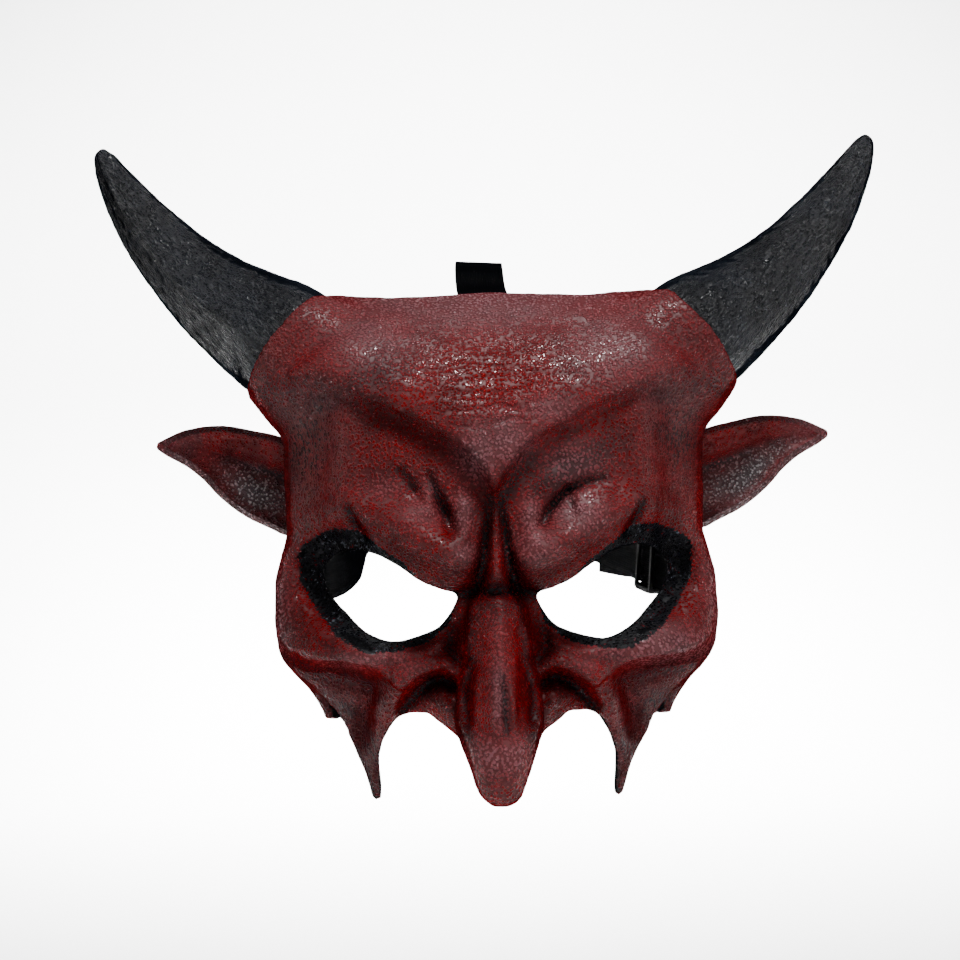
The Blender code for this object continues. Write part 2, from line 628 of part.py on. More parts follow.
def build_anchor_patches(material):
    middle = (ANCHOR_FRONT_Y + ANCHOR_END_Y) / 2
    on_wall = GAP + PATCH_THICK / 2 + 0.2
    over_strap = STRAP_THICK / 2 + GAP + PATCH_THICK / 2 + 0.1

    def on_side(side):
        def place(along, across, raised):
            y, z = middle + along, ANCHOR_Z + across
            strap_side = glued_strap_x(y) - over_strap
            return side * (strap_side if raised else inner_wall_x(y, z) - on_wall), y, z
        return place

    def on_forehead(along, across, raised):
        _, y, z = forehead_inside_y(84.0 + along)
        return across, y + (FOREHEAD_CLEAR + over_strap + 0.3 if raised else on_wall + 0.6), z

    draped_patch("anchor_patch_left", on_side(-1), 11.0, 16.0, material)
    draped_patch("anchor_patch_right", on_side(1), 11.0, 16.0, material)
    draped_patch("anchor_patch_top", on_forehead, 11.0, 16.0, material)


def build_junction_patches(material):
    """Two square patches, one in front of the three strap ends and one behind them."""
    for name, side in (("rear_patch_inner", -1), ("rear_patch_outer", 1)):
        bpy.ops.mesh.primitive_cube_add(size=1.0)
        patch = bpy.context.object
        patch.name = name
        patch.scale = (30.0 * MM, PATCH_THICK * MM, 42.0 * MM)
        reach = STRAP_THICK / 2 + GAP + PATCH_THICK / 2
        patch.location = Vector((0.0, JUNCTION[1] + side * reach, JUNCTION[2] + 5.0)) * MM
        bpy.ops.object.transform_apply(location=False, rotation=False, scale=True)
        adopt(patch, material)
        corners = patch.modifiers.new("round_corners", "BEVEL")
        corners.width = 4.0 * MM
        corners.segments = 3
        corners.limit_method = "WEIGHT"
        mark_edges_along(patch, "y")


def mark_edges_along(thing, letter):
    """Give full bevel weight to the edges that run along one axis."""
    index = "xyz".index(letter)
    weights = thing.data.attributes.new("bevel_weight_edge", "FLOAT", "EDGE")
    for edge in thing.data.edges:
        a, b = (thing.data.vertices[v].co for v in edge.vertices)
        run = abs((b - a)[index])
        weights.data[edge.index].value = 1.0 if run > 0.9 * (b - a).length else 0.0


def adopt(thing, material):
    for home in list(thing.users_collection):
        home.objects.unlink(thing)
    parts.objects.link(thing)
    thing.data.materials.clear()
    thing.data.materials.append(material)


def run_frame():
    """Place on the straight run: along it, square out of its flat side, and up its width."""
    ahead = (RUN_END - RUN_START) / np.linalg.norm(RUN_END - RUN_START)
    outward = np.cross(ahead * [1, 1, 0], [0.0, 0.0, 1.0])
    outward /= np.linalg.norm(outward)
    upward = np.cross(outward, ahead)
    upward /= np.linalg.norm(upward)
    outward = np.cross(ahead, upward)
    return RUN_START + ahead * SLIDER_AT, ahead, outward, upward


def bar(name, along, out, up, size, collection, material=None):
    """A box on the straight run, given by its middle and its three sides."""
    home, ahead, outward, upward = run_frame()
    shape = bmesh.new()
    bmesh.ops.create_cube(shape, size=1.0)
    for vert in shape.verts:
        place = (home + ahead * (along + vert.co.x * size[0])
                 + outward * (out + vert.co.y * size[1])
                 + upward * (up + vert.co.z * size[2]))
        vert.co = Vector(place) * MM
    return add_mesh(name, shape, collection, material, smooth=False)


RAIL_UP = STRAP_WIDTH / 2 + 0.5 + 1.2
BAR_OUT = STRAP_THICK / 2 + GAP + 1.2 + GAP + 1.1


def build_slider(material):
    """A tri-glide: two side rails, two end bars inside the strap and a middle bar outside it."""
    span = (BAR_OUT + 1.1) - (-STRAP_THICK / 2 - GAP - 1.8)
    middle = (BAR_OUT + 1.1 - STRAP_THICK / 2 - GAP - 1.8) / 2
    slider = bar("strap_slider", 0.0, middle, RAIL_UP, (14.0, span, 2.4), parts, material)
    boolean(slider, bar("slider_rail", 0.0, middle, -RAIL_UP, (14.0, span, 2.4), cutters), "UNION")
    inside = -STRAP_THICK / 2 - GAP - 0.9
    reach = 2 * RAIL_UP + 1.0
    boolean(slider, bar("slider_end_a", -5.9, inside, 0.0, (2.2, 1.8, reach), cutters), "UNION")
    boolean(slider, bar("slider_end_b", 5.9, inside, 0.0, (2.2, 1.8, reach), cutters), "UNION")
    boolean(slider, bar("slider_middle", 0.0, BAR_OUT, 0.0, (2.4, 2.2, reach), cutters), "UNION")
    return slider


def build_tail(material):
    """The strap end sewn round the slider's middle bar, and its loose length on the strap."""
    home, ahead, outward, upward = run_frame()
    thick = 1.2
    low = STRAP_THICK / 2 + GAP + thick / 2
    high = BAR_OUT + 1.1 + GAP + thick / 2
    turn = -(1.2 + GAP + thick / 2 + 0.2)
    route = [
        (TAIL_LENGTH, low, -TAIL_DROOP), (TAIL_LENGTH * 0.75, low, -TAIL_DROOP * 0.72),
        (TAIL_LENGTH * 0.5, low, -TAIL_DROOP * 0.42), (12.0, low, 0.0), (2.0, low, 0.0),
        (turn + 0.8, low, 0.0), (turn, low + 0.9, 0.0), (turn, high - 0.9, 0.0),
        (turn + 0.8, high, 0.0), (1.6, high, 0.0), (5.0, high - 1.2, 0.0),
        (8.5, low + thick + GAP, 0.0), (15.0, low + thick + GAP, 0.0),
    ]
    centres = [home + ahead * a + outward * o + upward * u for a, o, u in route]
    line = np.array(route)
    heading = np.gradient(line[:, :2], axis=0)
    heading /= np.linalg.norm(heading, axis=1)[:, None]
    faces = [ahead * -h[1] + outward * h[0] for h in heading]
    return ribbon("strap_tail", centres, faces, STRAP_WIDTH - 0.6, thick, material)


# ------------------------------------------------------------------------------------- build
def main():
    global parts, cutters
    clear_scene()
    parts = new_collection("horned_devil_half_mask")
    cutters = new_collection("cutters")
    red_skin = finish_material("painted_red_skin", (0.22, 0.012, 0.014), 0.45)
    horn_black = finish_material("black_horn_gloss", (0.012, 0.014, 0.018), 0.3)
    elastic_black = finish_material("black_elastic", (0.01, 0.01, 0.012), 0.8)
    patch_black = finish_material("black_patch_cloth", (0.02, 0.02, 0.02), 0.9)
    slider_black = finish_material("black_slider_plastic", (0.012, 0.012, 0.012), 0.35)

    build_face_shell(red_skin)
    wall_clearance = face_solid("face_clearance", cutters, -GAP, REAR_RIM_Y + 1.0)
    for side in (-1, 1):
        build_horn(side, horn_black)
        build_ear(side, red_skin, wall_clearance)
    build_side_strap_left(elastic_black)
    build_side_strap_right(elastic_black)
    build_top_strap(elastic_black)
    build_anchor_patches(patch_black)
    build_junction_patches(patch_black)
    build_slider(slider_black)
    build_tail(elastic_black)


main()
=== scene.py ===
# %% [markdown]
# # A horned devil half mask
# This lesson builds the looks of a costume half mask around its packed working model: a moulded
# foam latex face with a hooked nose and fangs, two glossy horns set in sleeves, two pointed ears
# and an elastic harness. The working model comes in as a fixed frame in metres. All tables below
# are in millimetres, because that is how a mould maker would write them.

# %% Load the frame
import math

import bpy
import numpy as np
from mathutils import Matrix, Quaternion, Vector, noise
from mathutils.bvhtree import BVHTree


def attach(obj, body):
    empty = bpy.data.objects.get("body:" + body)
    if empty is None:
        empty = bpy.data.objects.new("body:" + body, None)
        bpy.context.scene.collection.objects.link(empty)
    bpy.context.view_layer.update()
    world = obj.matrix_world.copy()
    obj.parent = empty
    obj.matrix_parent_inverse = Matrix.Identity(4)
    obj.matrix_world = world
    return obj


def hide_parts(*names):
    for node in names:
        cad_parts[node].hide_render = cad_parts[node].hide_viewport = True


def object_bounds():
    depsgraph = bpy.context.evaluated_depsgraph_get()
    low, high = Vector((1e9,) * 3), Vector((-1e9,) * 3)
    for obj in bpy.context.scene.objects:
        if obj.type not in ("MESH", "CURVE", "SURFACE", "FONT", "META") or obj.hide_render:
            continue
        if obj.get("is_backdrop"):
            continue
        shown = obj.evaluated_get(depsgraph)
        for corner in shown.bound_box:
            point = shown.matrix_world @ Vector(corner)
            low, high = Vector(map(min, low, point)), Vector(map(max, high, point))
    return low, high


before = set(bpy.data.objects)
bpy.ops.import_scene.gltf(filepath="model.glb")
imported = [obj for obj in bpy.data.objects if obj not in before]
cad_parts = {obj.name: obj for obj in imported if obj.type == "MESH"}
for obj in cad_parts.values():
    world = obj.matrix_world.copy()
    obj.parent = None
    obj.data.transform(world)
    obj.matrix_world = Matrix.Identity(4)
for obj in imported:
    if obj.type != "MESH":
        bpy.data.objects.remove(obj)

MM = 0.001
cad_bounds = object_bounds()

# %% [markdown]
# ## Camera, floor and light
# The mask is looked at from straight in front, at eye height, so the camera sits on the same eye
# that the relief of the face is drawn from. A pale sweep of floor runs up into the backdrop. A
# small soft lamp above gives the sheen on the forehead and the glints on the pebbled paint, two
# weaker ones in front open the shadows, and three narrow ones behind whiten the backdrop.

# %% Camera
VIEW_DISTANCE = 514.0
VIEW_HEIGHT = 31.0
CAMERA_ROLL = math.radians(-1.1)


def make_camera():
    data = bpy.data.cameras.new("camera")
    data.lens, data.sensor_width = 50.0, 36.0
    camera = bpy.data.objects.new("camera", data)
    bpy.context.scene.collection.objects.link(camera)
    camera.location = (-0.0054, -VIEW_DISTANCE * MM, 0.0309)
    camera.rotation_mode = "QUATERNION"
    level = Vector((0.0, 1.0, 0.0)).to_track_quat("-Z", "Y")
    camera.rotation_quaternion = level @ Quaternion((0.0, 0.0, 1.0), CAMERA_ROLL)
    bpy.context.scene.camera = camera
    return camera


camera = make_camera()
print("camera at", [round(v, 4) for v in camera.location])

# %% Floor sweep, lamps and sky
FLOOR_Z, SWEEP_RADIUS = -0.32, 0.5


def make_sweep():
    """A floor that curves up into a backdrop, as one sheet."""
    arc = np.linspace(0.0, math.pi / 2, 13)
    profile = [(-2.2, FLOOR_Z), (0.9, FLOOR_Z)]
    profile += [(0.9 + SWEEP_RADIUS * math.sin(a), FLOOR_Z + SWEEP_RADIUS * (1 - math.cos(a)))
                for a in arc[1:]]
    profile.append((0.9 + SWEEP_RADIUS, 2.6))
    points = [(x, y, z) for y, z in profile for x in (-3.0, 3.0)]
    faces = [(2 * i, 2 * i + 1, 2 * i + 3, 2 * i + 2) for i in range(len(profile) - 1)]
    mesh = bpy.data.meshes.new("floor_sweep")
    mesh.from_pydata(points, [], faces)
    mesh.shade_smooth()
    sweep = bpy.data.objects.new("floor_sweep", mesh)
    bpy.context.scene.collection.objects.link(sweep)
    paper = bpy.data.materials.new("white_paper")
    paper.use_nodes = True
    shader = paper.node_tree.nodes["Principled BSDF"]
    shader.inputs["Base Color"].default_value = (0.93, 0.93, 0.93, 1.0)
    shader.inputs["Roughness"].default_value = 0.9
    mesh.materials.append(paper)
    sweep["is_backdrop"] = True
    return sweep


def make_lamp(name, place, aim, size, power, spread=180.0):
    data = bpy.data.lights.new(name, "AREA")
    data.shape, data.size, data.size_y, data.energy = "RECTANGLE", size[0], size[1], power
    data.spread = math.radians(spread)
    lamp = bpy.data.objects.new(name, data)
    bpy.context.scene.collection.objects.link(lamp)
    lamp.location = place
    lamp.rotation_mode = "QUATERNION"
    lamp.rotation_quaternion = (Vector(aim) - Vector(place)).to_track_quat("-Z", "Y")
    return lamp


sweep = make_sweep()
make_lamp("top_softbox", (0.10, -0.35, 1.15), (0.0, 0.0, 0.05), (0.2, 0.18), 13.0)
make_lamp("front_right_softbox", (0.75, -1.0, 0.65), (0.0, 0.0, 0.03), (0.25, 0.25), 3.2)
make_lamp("front_left_softbox", (-0.85, -0.9, 0.35), (0.0, 0.0, 0.03), (0.3, 0.4), 0.5)
make_lamp("backdrop_high", (0.0, 0.75, 2.3), (0.0, 1.15, 0.0), (1.2, 0.3), 75.0, 45.0)
make_lamp("backdrop_left", (-1.6, 0.8, 0.5), (0.2, 1.45, 0.1), (0.5, 0.8), 24.0, 60.0)
make_lamp("backdrop_right", (1.6, 0.8, 0.5), (-0.2, 1.45, 0.1), (0.5, 0.8), 24.0, 60.0)
world = bpy.data.worlds.new("studio")
world.use_nodes = True
world.node_tree.nodes["Background"].inputs["Color"].default_value = (1.0, 1.0, 1.0, 1.0)
world.node_tree.nodes["Background"].inputs["Strength"].default_value = 0.08
bpy.context.scene.world = world

# %% [markdown]
# ## Curves and lofts
# Most pieces here are lofts: closed rings of points joined by quads. A few small helpers keep the
# rest short. A smooth curve goes through given points, a line is resampled to even steps,
# and closed rings become a mesh with flat ends.

# %% Curve and mesh helpers
def through_points(points, per_span=6, closed=False):
    """A smooth curve through given points (Catmull-Rom)."""
    given = np.array(points, float)
    count = len(given)
    spans = count if closed else count - 1
    curve = []
    for i in range(spans):
        if closed:
            a, b, c, d = (given[(i + k) % count] for k in (-1, 0, 1, 2))
        else:
            a, b, c, d = (given[min(max(i + k, 0), count - 1)] for k in (-1, 0, 1, 2))
        for t in np.arange(per_span) / per_span:
            curve.append(
                0.5 * (2 * b + (c - a) * t + (2 * a - 5 * b + 4 * c - d) * t**2
                       + (3 * b - a - 3 * c + d) * t**3)
            )
    if not closed:
        curve.append(given[-1])
    return np.array(curve)


def resample(points, count):
    """The same line with its points evenly spaced."""
    points = np.array(points, float)
    run = np.concatenate([[0.0], np.cumsum(np.linalg.norm(np.diff(points, axis=0), axis=1))])
    at = np.linspace(0.0, run[-1], count)
    return np.stack([np.interp(at, run, column) for column in points.T], axis=1)


def mesh_object(name, points, faces, material=None):
    """An object from points in millimetres."""
    mesh = bpy.data.meshes.new(name)
    mesh.from_pydata((np.asarray(points) * MM).tolist(), [], faces)
    mesh.update()
    thing = bpy.data.objects.new(name, mesh)
    bpy.context.scene.collection.objects.link(thing)
    if material:
        mesh.materials.append(material)
    mesh.shade_smooth()
    return thing


def loft(name, rings, material=None):
    """A closed solid through closed rings with the same number of points, facing out."""
    rings = np.array(rings, float)
    levels, count = rings.shape[:2]
    faces = []
    for level in range(levels - 1):
        low, high = level * count, (level + 1) * count
        for i in range(count):
            j = (i + 1) % count
            faces.append((low + i, low + j, high + j, high + i))
    faces.append(tuple(range(count))[::-1])
    faces.append(tuple((levels - 1) * count + i for i in range(count)))
    thing = mesh_object(name, rings.reshape(-1, 3), faces, material)
    face_outwards(thing.data)
    return thing


def read_points(mesh):
    points = np.empty(len(mesh.vertices) * 3)
    mesh.vertices.foreach_get("co", points)
    return points.reshape(-1, 3) / MM


def write_points(mesh, points):
    mesh.vertices.foreach_set("co", (points * MM).ravel())
    mesh.update()


def vertex_normals(mesh):
    normals = np.empty(len(mesh.vertices) * 3)
    mesh.vertices.foreach_get("normal", normals)
    return normals.reshape(-1, 3)


def store_mask(mesh, name, values):
    """Keep one number for each point, where a material can read it by name."""
    layer = mesh.attributes.new(name, "FLOAT", "POINT")
    layer.data.foreach_set("value", values.ravel().astype(np.float32))


def hand_in(piece, node, body):
    """Hide the part of the working model in a finished piece's place, and let the piece ride on its
    body.
    """
    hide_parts(node)
    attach(piece, body)


def face_outwards(mesh):
    """Turn a closed mesh round if its volume comes out negative."""
    mesh.calc_loop_triangles()
    corners = np.empty(len(mesh.loop_triangles) * 3, int)
    mesh.loop_triangles.foreach_get("vertices", corners)
    a, b, c = read_points(mesh)[corners].reshape(-1, 3, 3).transpose(1, 0, 2)
    if np.einsum("ij,ij->i", a, np.cross(b, c)).sum() < 0:
        mesh.flip_normals()


print("helpers ready")

# %% [markdown]
# ## The form of the face
# The face is a moulded shell. Its smooth underlying form is a stack of level sections, each a
# rounded box whose half width, front, side and squareness change with height. The folds of the
# skin are strokes of raised or sunk relief, drawn on a front drawing, and the surface is pushed
# along the eye's sight lines, so each fold lands where the drawing has it.

# %% Form table and front drawing
SHELL_WALL, REAR_RIM_Y, RIM_TAPER = 4.0, 45.0, 4.0
FACE_FORM = {
    # z: (half_width, y_front, y_side, power)
    118: (58, 28, 34, 3.4), 106: (62, 13, 28, 3.6), 95: (68, 1, 25, 3.6), 84: (76, -8, 23, 3.6),
    74: (84, -15, 21, 3.4), 64: (86, -20, 19, 3), 56: (85, -23, 18, 2.5), 46: (83, -26, 17, 2.1),
    34: (83, -28, 16, 2), 20: (82.5, -28, 15, 2), 10: (82, -27, 15, 2.1), 2: (84.5, -25, 15, 2.3),
    -8: (87, -22, 15, 2.5), -25: (87, -20, 14, 2.7), -36: (85.5, -19, 14, 2.7),
    -43: (81, -17.5, 14, 2.4), -50: (74.5, -16.5, 14, 2.1), -58: (69.5, -15, 14, 2),
    -66: (67, -12, 13, 2), -80: (64, -7, 12, 2), -98: (60, -2, 10, 2),
}
HOLLOW_LIMIT = {120: 47.0, 100: 48.0, 85: 52.0, 75: 58.0, 66: 70.0, 58: 90.0}


def read_table(table, z, spread=3.0):
    """Rows of a height table read at the heights z, eased over a few millimetres."""
    heights = sorted(table)
    rows = np.array([np.atleast_1d(table[h]) for h in heights])
    steps = np.linspace(-spread, spread, 5)
    columns = [
        np.mean([np.interp(z + step, heights, column) for step in steps], axis=0)
        for column in rows.T
    ]
    return columns if len(columns) > 1 else columns[0]


def to_drawing(points):
    scale = VIEW_DISTANCE / (VIEW_DISTANCE + points[..., 1])
    return points[..., 0] * scale, VIEW_HEIGHT + (points[..., 2] - VIEW_HEIGHT) * scale


def from_drawing(x, z, y):
    scale = (VIEW_DISTANCE + y) / VIEW_DISTANCE
    y = np.broadcast_to(y, np.shape(x))
    return np.stack([x * scale, y, VIEW_HEIGHT + (z - VIEW_HEIGHT) * scale], axis=-1)


def nearest_on_stroke(x, z, stroke):
    """For each place: signed distance to the stroke, and its height and width there."""
    near = np.full(x.shape, np.inf)
    signed, height, width = np.zeros(x.shape), np.zeros(x.shape), np.ones(x.shape)
    for (x0, z0, h0, w0), (x1, z1, h1, w1) in zip(stroke, stroke[1:]):
        dx, dz = x1 - x0, z1 - z0
        t = np.clip(((x - x0) * dx + (z - z0) * dz) / (dx * dx + dz * dz), 0.0, 1.0)
        away = np.hypot(x - x0 - t * dx, z - z0 - t * dz)
        side = np.sign(dx * (z - z0) - dz * (x - x0))
        closer = away < near
        near = np.where(closer, away, near)
        signed = np.where(closer, away * side, signed)
        height = np.where(closer, h0 + t * (h1 - h0), height)
        width = np.where(closer, w0 + t * (w1 - w0), width)
    return signed, height, width


def strokes_sum(x, z, strokes):
    """Soft strokes added up: each is a ridge, or a groove where its height is negative."""
    out = np.zeros(x.shape)
    for stroke in strokes:
        away, height, width = nearest_on_stroke(x, z, stroke)
        out += height * np.exp(-((away / width) ** 2))
    return out


print("form read at z = 0:", [round(float(v), 1) for v in read_table(FACE_FORM, 0.0)])

# %% [markdown]
# ### Big folds
# The forehead is a smooth slab that ends in a V above the brows. The brows roll out over the eyes,
# the eyes sit in deep sockets, the cheekbones make a shelf, and an arched fold runs from the nose
# down into each fang. Each is one stroke: places (x, z), a height and a width.

# %% Strokes of the big folds, right half
FOREHEAD_STEP = [
    (0, 25, 6, 6), (4.5, 33, 6, 6), (10.5, 41, 6, 6), (16, 46, 5.5, 6), (23, 50, 5.5, 6),
    (36, 57, 5.5, 6), (48, 62.5, 5.5, 6), (61, 67, 5, 6), (77, 70.5, 4, 6), (89, 72, 3, 6),
]
CHEEK_STEP = [
    (43, -46, 3, 5), (50, -41.5, 6, 5), (59, -39.5, 7, 5), (70, -40, 6, 5), (84, -37, 3, 5),
]
BIG_STROKES = (
    [(50, 94, 2, 11), (62, 87, 6, 12), (76, 76, 6, 11)],
    [(13, -1, 12, 8), (20, 2.5, 12.5, 9), (28, 7, 11, 9), (36, 11.5, 9, 9), (44, 15.5, 7.5, 8),
     (52, 18.5, 6, 8), (59, 20.5, 4, 7)],
    [(18, -22, -3, 6), (28, -29, -2.5, 6), (41, -32, -2.5, 6), (50, -28, -3.5, 6),
     (58, -21, -7, 7), (64, -15, -11, 8), (69, -8, -15, 9), (69, -2, -16, 9), (65, 4, -12, 8),
     (58, 7, -6, 7)],
    [(38, -36, 3, 6), (48, -35.5, 4, 6), (60, -32, 4, 7), (72, -30, 4, 8), (80, -28, 2, 8)],
    [(8, -43, 4, 6), (15, -40.5, 6, 6), (25, -41, 7, 5.5), (37.5, -46.5, 7, 5.5),
     (43, -56, 7.5, 5.5), (46, -70.4, 6, 5.5), (48.2, -82, 4, 5), (47.5, -91, 3, 5)],
    [(21, -55, 6, 6), (17, -64, 5, 6)],
    [(57.5, 64, 1, 6), (58, 50, 4, 6), (58.5, 36, 4.5, 6), (59, 22, 3, 7)],
    [(72, 58, -3, 10), (73, 42, -4, 10), (72, 26, -3, 9)],
)


def step_up(x, z, stroke, reach):
    """The surface stands higher on the left hand of the stroke and eases back further on."""
    away, height, width = nearest_on_stroke(x, z, stroke)
    rise = np.clip(away / width + 0.5, 0.0, 1.0)
    fade = np.exp(-((np.maximum(away, 0.0) / reach) ** 2))
    return height * rise * rise * (3.0 - 2.0 * rise) * fade


def relief(x, z):
    """How far the face stands out of its smooth form, at places of the front drawing."""
    x = np.abs(x)
    return (strokes_sum(x, z, BIG_STROKES) + step_up(x, z, FOREHEAD_STEP, 38.0)
            + step_up(x, z, CHEEK_STEP, 16.0))


def hollow_relief(x, z):
    """The inside backs off from the sunk places of the outside and ignores the raised ones."""
    rings = [np.zeros(x.shape)]
    for angle in np.arange(8) * math.pi / 4:
        for reach in (0.0, 3.2, 6.4):
            rings.append(relief(x + reach * math.cos(angle), z + reach * math.sin(angle)))
    return np.min(rings, axis=0)


print("relief on the brow:", round(float(relief(np.array([20.0]), np.array([2.5]))[0]), 1))

# %% [markdown]
# ### The moulded shell
# The outer skin and the hollow behind it are two closed lofts of level sections. The horn sleeves
# and the nose are lofts of their own. They are joined and cut with Boolean modifiers, and a voxel
# remesh then turns everything into one even mesh of small quads, so that the folds, the nose and
# the sleeves become one skin, as they are when foam latex is poured into one mould.

# %% Level sections and cutters
RELIEF_FADE = 36.0


def smooth_ramp(values, low, high):
    t = np.clip((values - low) / (high - low), 0.0, 1.0)
    return t * t * (3.0 - 2.0 * t)


def face_sections(levels, columns, inset, rear_y, raised, limit=None):
    """Level sections of the face form, from the left rear rim over the front to the right one."""
    rows = []
    for z in levels:
        half, front, side, power = read_table(FACE_FORM, z)
        half, front = half - inset, front + inset
        if limit:
            half = min(half, read_table(limit, z))
        angle = np.linspace(0.0, math.pi / 2, 120)
        x = half * np.sin(angle) ** (2 / power)
        y = side - (side - front) * np.cos(angle) ** (2 / power)
        slope = RIM_TAPER / (REAR_RIM_Y - side)
        x = np.append(x, half - slope * (rear_y - side))
        y = np.append(y, rear_y)
        line = resample(np.stack([x, y], axis=1), columns)
        line = np.concatenate([line[:0:-1] * [-1, 1], line])
        rows.append(np.column_stack([line, np.full(len(line), z)]))
    grid = np.array(rows)
    height = raised(*to_drawing(grid)) * smooth_ramp(REAR_RIM_Y - grid[..., 1], 0.0, RELIEF_FADE)
    eye = np.array([0.0, -VIEW_DISTANCE, VIEW_HEIGHT])
    share = height / (VIEW_DISTANCE + grid[..., 1])
    return grid + (eye - grid) * share[..., None]


def sight_prism(name, outline, near_y, far_y):
    """A cutter whose sides run along the sight lines of the front drawing."""
    outline = np.array(outline)
    return loft(name, [from_drawing(outline[:, 0], outline[:, 1], y) for y in (near_y, far_y)])


def side_prism(name, outline, x_from, x_to):
    return loft(name, [[(x, y, z) for y, z in outline] for x in (x_from, x_to)])


def carve(target, tool, operation):
    """Join or cut with a closed tool, which is then no longer needed in the scene."""
    modifier = target.modifiers.new(tool.name, "BOOLEAN")
    modifier.operation, modifier.object, modifier.solver = operation, tool, "MANIFOLD"
    bake_modifiers(target)
    bpy.data.objects.remove(tool, do_unlink=True)


def bake_modifiers(thing):
    """Replace the mesh by what its modifiers make of it."""
    graph = bpy.context.evaluated_depsgraph_get()
    mesh = bpy.data.meshes.new_from_object(thing.evaluated_get(graph))
    thing.modifiers.clear()
    thing.data = mesh


def remesh(thing, voxel):
    modifier = thing.modifiers.new("even_quads", "REMESH")
    modifier.mode, modifier.voxel_size, modifier.use_smooth_shade = "VOXEL", voxel * MM, True
    bake_modifiers(thing)


# %% Nose, sleeve and outline tables
NOSE_STATIONS = [
    # z, y_front, y_back, half_width at the ridge, half_width at the back
    (8, -26, -8, 3, 5), (-2, -30, -8, 6.5, 10), (-12, -33, -8, 7.5, 14), (-24, -38, -8, 8, 16),
    (-36, -44, -8, 8.5, 18), (-48, -49.5, -10, 8.5, 20.5), (-56, -52.5, -16, 9.5, 21.5),
    (-62, -54, -22, 10, 18.5), (-68, -55, -29, 9.8, 14.4), (-74, -54.8, -36, 9, 10.6),
    (-79, -53.5, -41, 7.4, 8), (-82, -51.5, -44, 5.2, 5), (-83.6, -49, -46, 2.5, 2.5),
]
NOSE_CAVITY = [
    (0, -22, 0, 3.5, 6), (-12, -27, 0, 5, 9), (-24, -32, 0, 6, 11), (-36, -38, 0, 6.5, 12),
    (-48, -42, 0, 6, 12), (-55, -41, 0, 4, 8),
]
SLEEVE_RIM = np.array([80.1, 20.0, 86.2])
SLEEVE_AXIS = np.array([0.777, 0.139, 0.614]) / np.linalg.norm([0.777, 0.139, 0.614])
SLEEVE_STATIONS = [
    (0, 26.7, 26.4), (-6, 28.4, 27.2), (-13, 30.5, 27.6), (-22, 31.5, 27), (-30, 30, 24),
]
SOCKET_RADIUS, SOCKET_DEPTH, GAP = 24.7, 14.0, 0.3
EYE_OUTLINE = [
    (15.2, -13), (21, -11.2), (29, -7.8), (36.5, -2.3), (44.5, 2.4), (51, 4.6), (57.5, 4.8),
    (63, 2.2), (66, -2.5), (65.5, -8.5), (62, -14.5), (58, -19.2), (53, -24.8), (47, -28.8),
    (41, -30.8), (34, -30), (28, -28), (22, -25), (18, -20),
]
UPPER_OUTLINE = [
    (0, 103.2), (20, 102.2), (38, 101.6), (50, 102.4), (60, 103), (130, 103),
]
LOWER_OUTLINE = [
    (0, -71), (10, -71), (15, -69.2), (18.8, -65), (24.1, -61.2), (27.1, -58.6), (34, -58.2),
    (38, -59.4), (40, -61), (42.6, -64.6), (45, -69.2), (46.2, -74.2), (46.2, -80), (45.7, -86),
    (45.9, -90.8), (47.6, -91.4), (49, -90.2), (51.5, -81), (54.4, -74), (57.3, -67.4),
    (60.6, -60.2), (66, -59.8), (130, -59.8),
]
FANG_NOTCH = [(0.0, -66.0), (3.5, -50.0), (4.5, -50.0), (9.0, -66.0)]
TOP_SWEEP = [(-40, 125), (12, 113), (24, 106), (60, 96), (60, 140), (-40, 140)]
REAR_SWEEP = [
    (60, -18), (45, -23), (38.5, -31), (32.5, -42), (27, -53), (20, -66), (20, -120), (60, -120),
]
RIGHT_FANG_SHIFT = -1.6


def nose_form(name, stations, sides=64):
    """A drooping nose: level rounded sections, blunt in front and closed at the tip."""
    angle = np.arange(sides) * 2 * math.pi / sides
    rings = []
    for z, front, back, half_ridge, half_back in through_points(stations, 4):
        middle, reach = (front + back) / 2, (back - front) / 2
        half = half_ridge + (half_back - half_ridge) * (1.0 - np.cos(angle)) / 2
        x = half * np.sign(np.sin(angle)) * np.abs(np.sin(angle)) ** 0.85
        rings.append(np.column_stack([x, middle - reach * np.cos(angle), np.full(sides, z)]))
    return loft(name, rings)


def sleeve_frame(side):
    """The horn sleeve's axis, its direction in the front plane and its depth direction."""
    axis = SLEEVE_AXIS * [side, 1, 1]
    across = np.array([-axis[2], 0.0, axis[0]])
    across /= np.linalg.norm(across)
    return axis, across, np.cross(axis, across)


def ring_about(centre, across, depth, half_across, half_depth, sides):
    angle = np.arange(sides) * 2 * math.pi / sides
    return (centre + np.outer(np.cos(angle), across) * half_across
            + np.outer(np.sin(angle), depth) * half_depth)


def tube_about_sleeve(name, side, stations):
    axis, across, depth = sleeve_frame(side)
    rim = SLEEVE_RIM * [side, 1, 1]
    return loft(name, [ring_about(rim + axis * along, across, depth, wide, deep, 72)
                       for along, wide, deep in stations])


def whole_outline(half, shift_right=0.0):
    """A half outline from the middle outwards, made whole; the right fang may stand further in."""
    right = np.array(half)
    left = right[:0:-1] * [-1, 1]
    fang = np.exp(-(((right[:, 0] - 48.0) / 9.0) ** 4))
    right[:, 0] += shift_right * fang
    return np.concatenate([left, right])


print("nose", len(NOSE_STATIONS), "sections, eye", len(EYE_OUTLINE), "points")

# %% Mould the shell
VOXEL = 1.0
FACE_FOOT, FACE_TOP = -96.0, 116.0


def block(name, inset, rear_y, raised, limit, ends, step):
    levels = np.arange(ends[0], ends[1] + step / 2, step)
    return loft(name, face_sections(levels, int(150 / step), inset, rear_y, raised, limit))


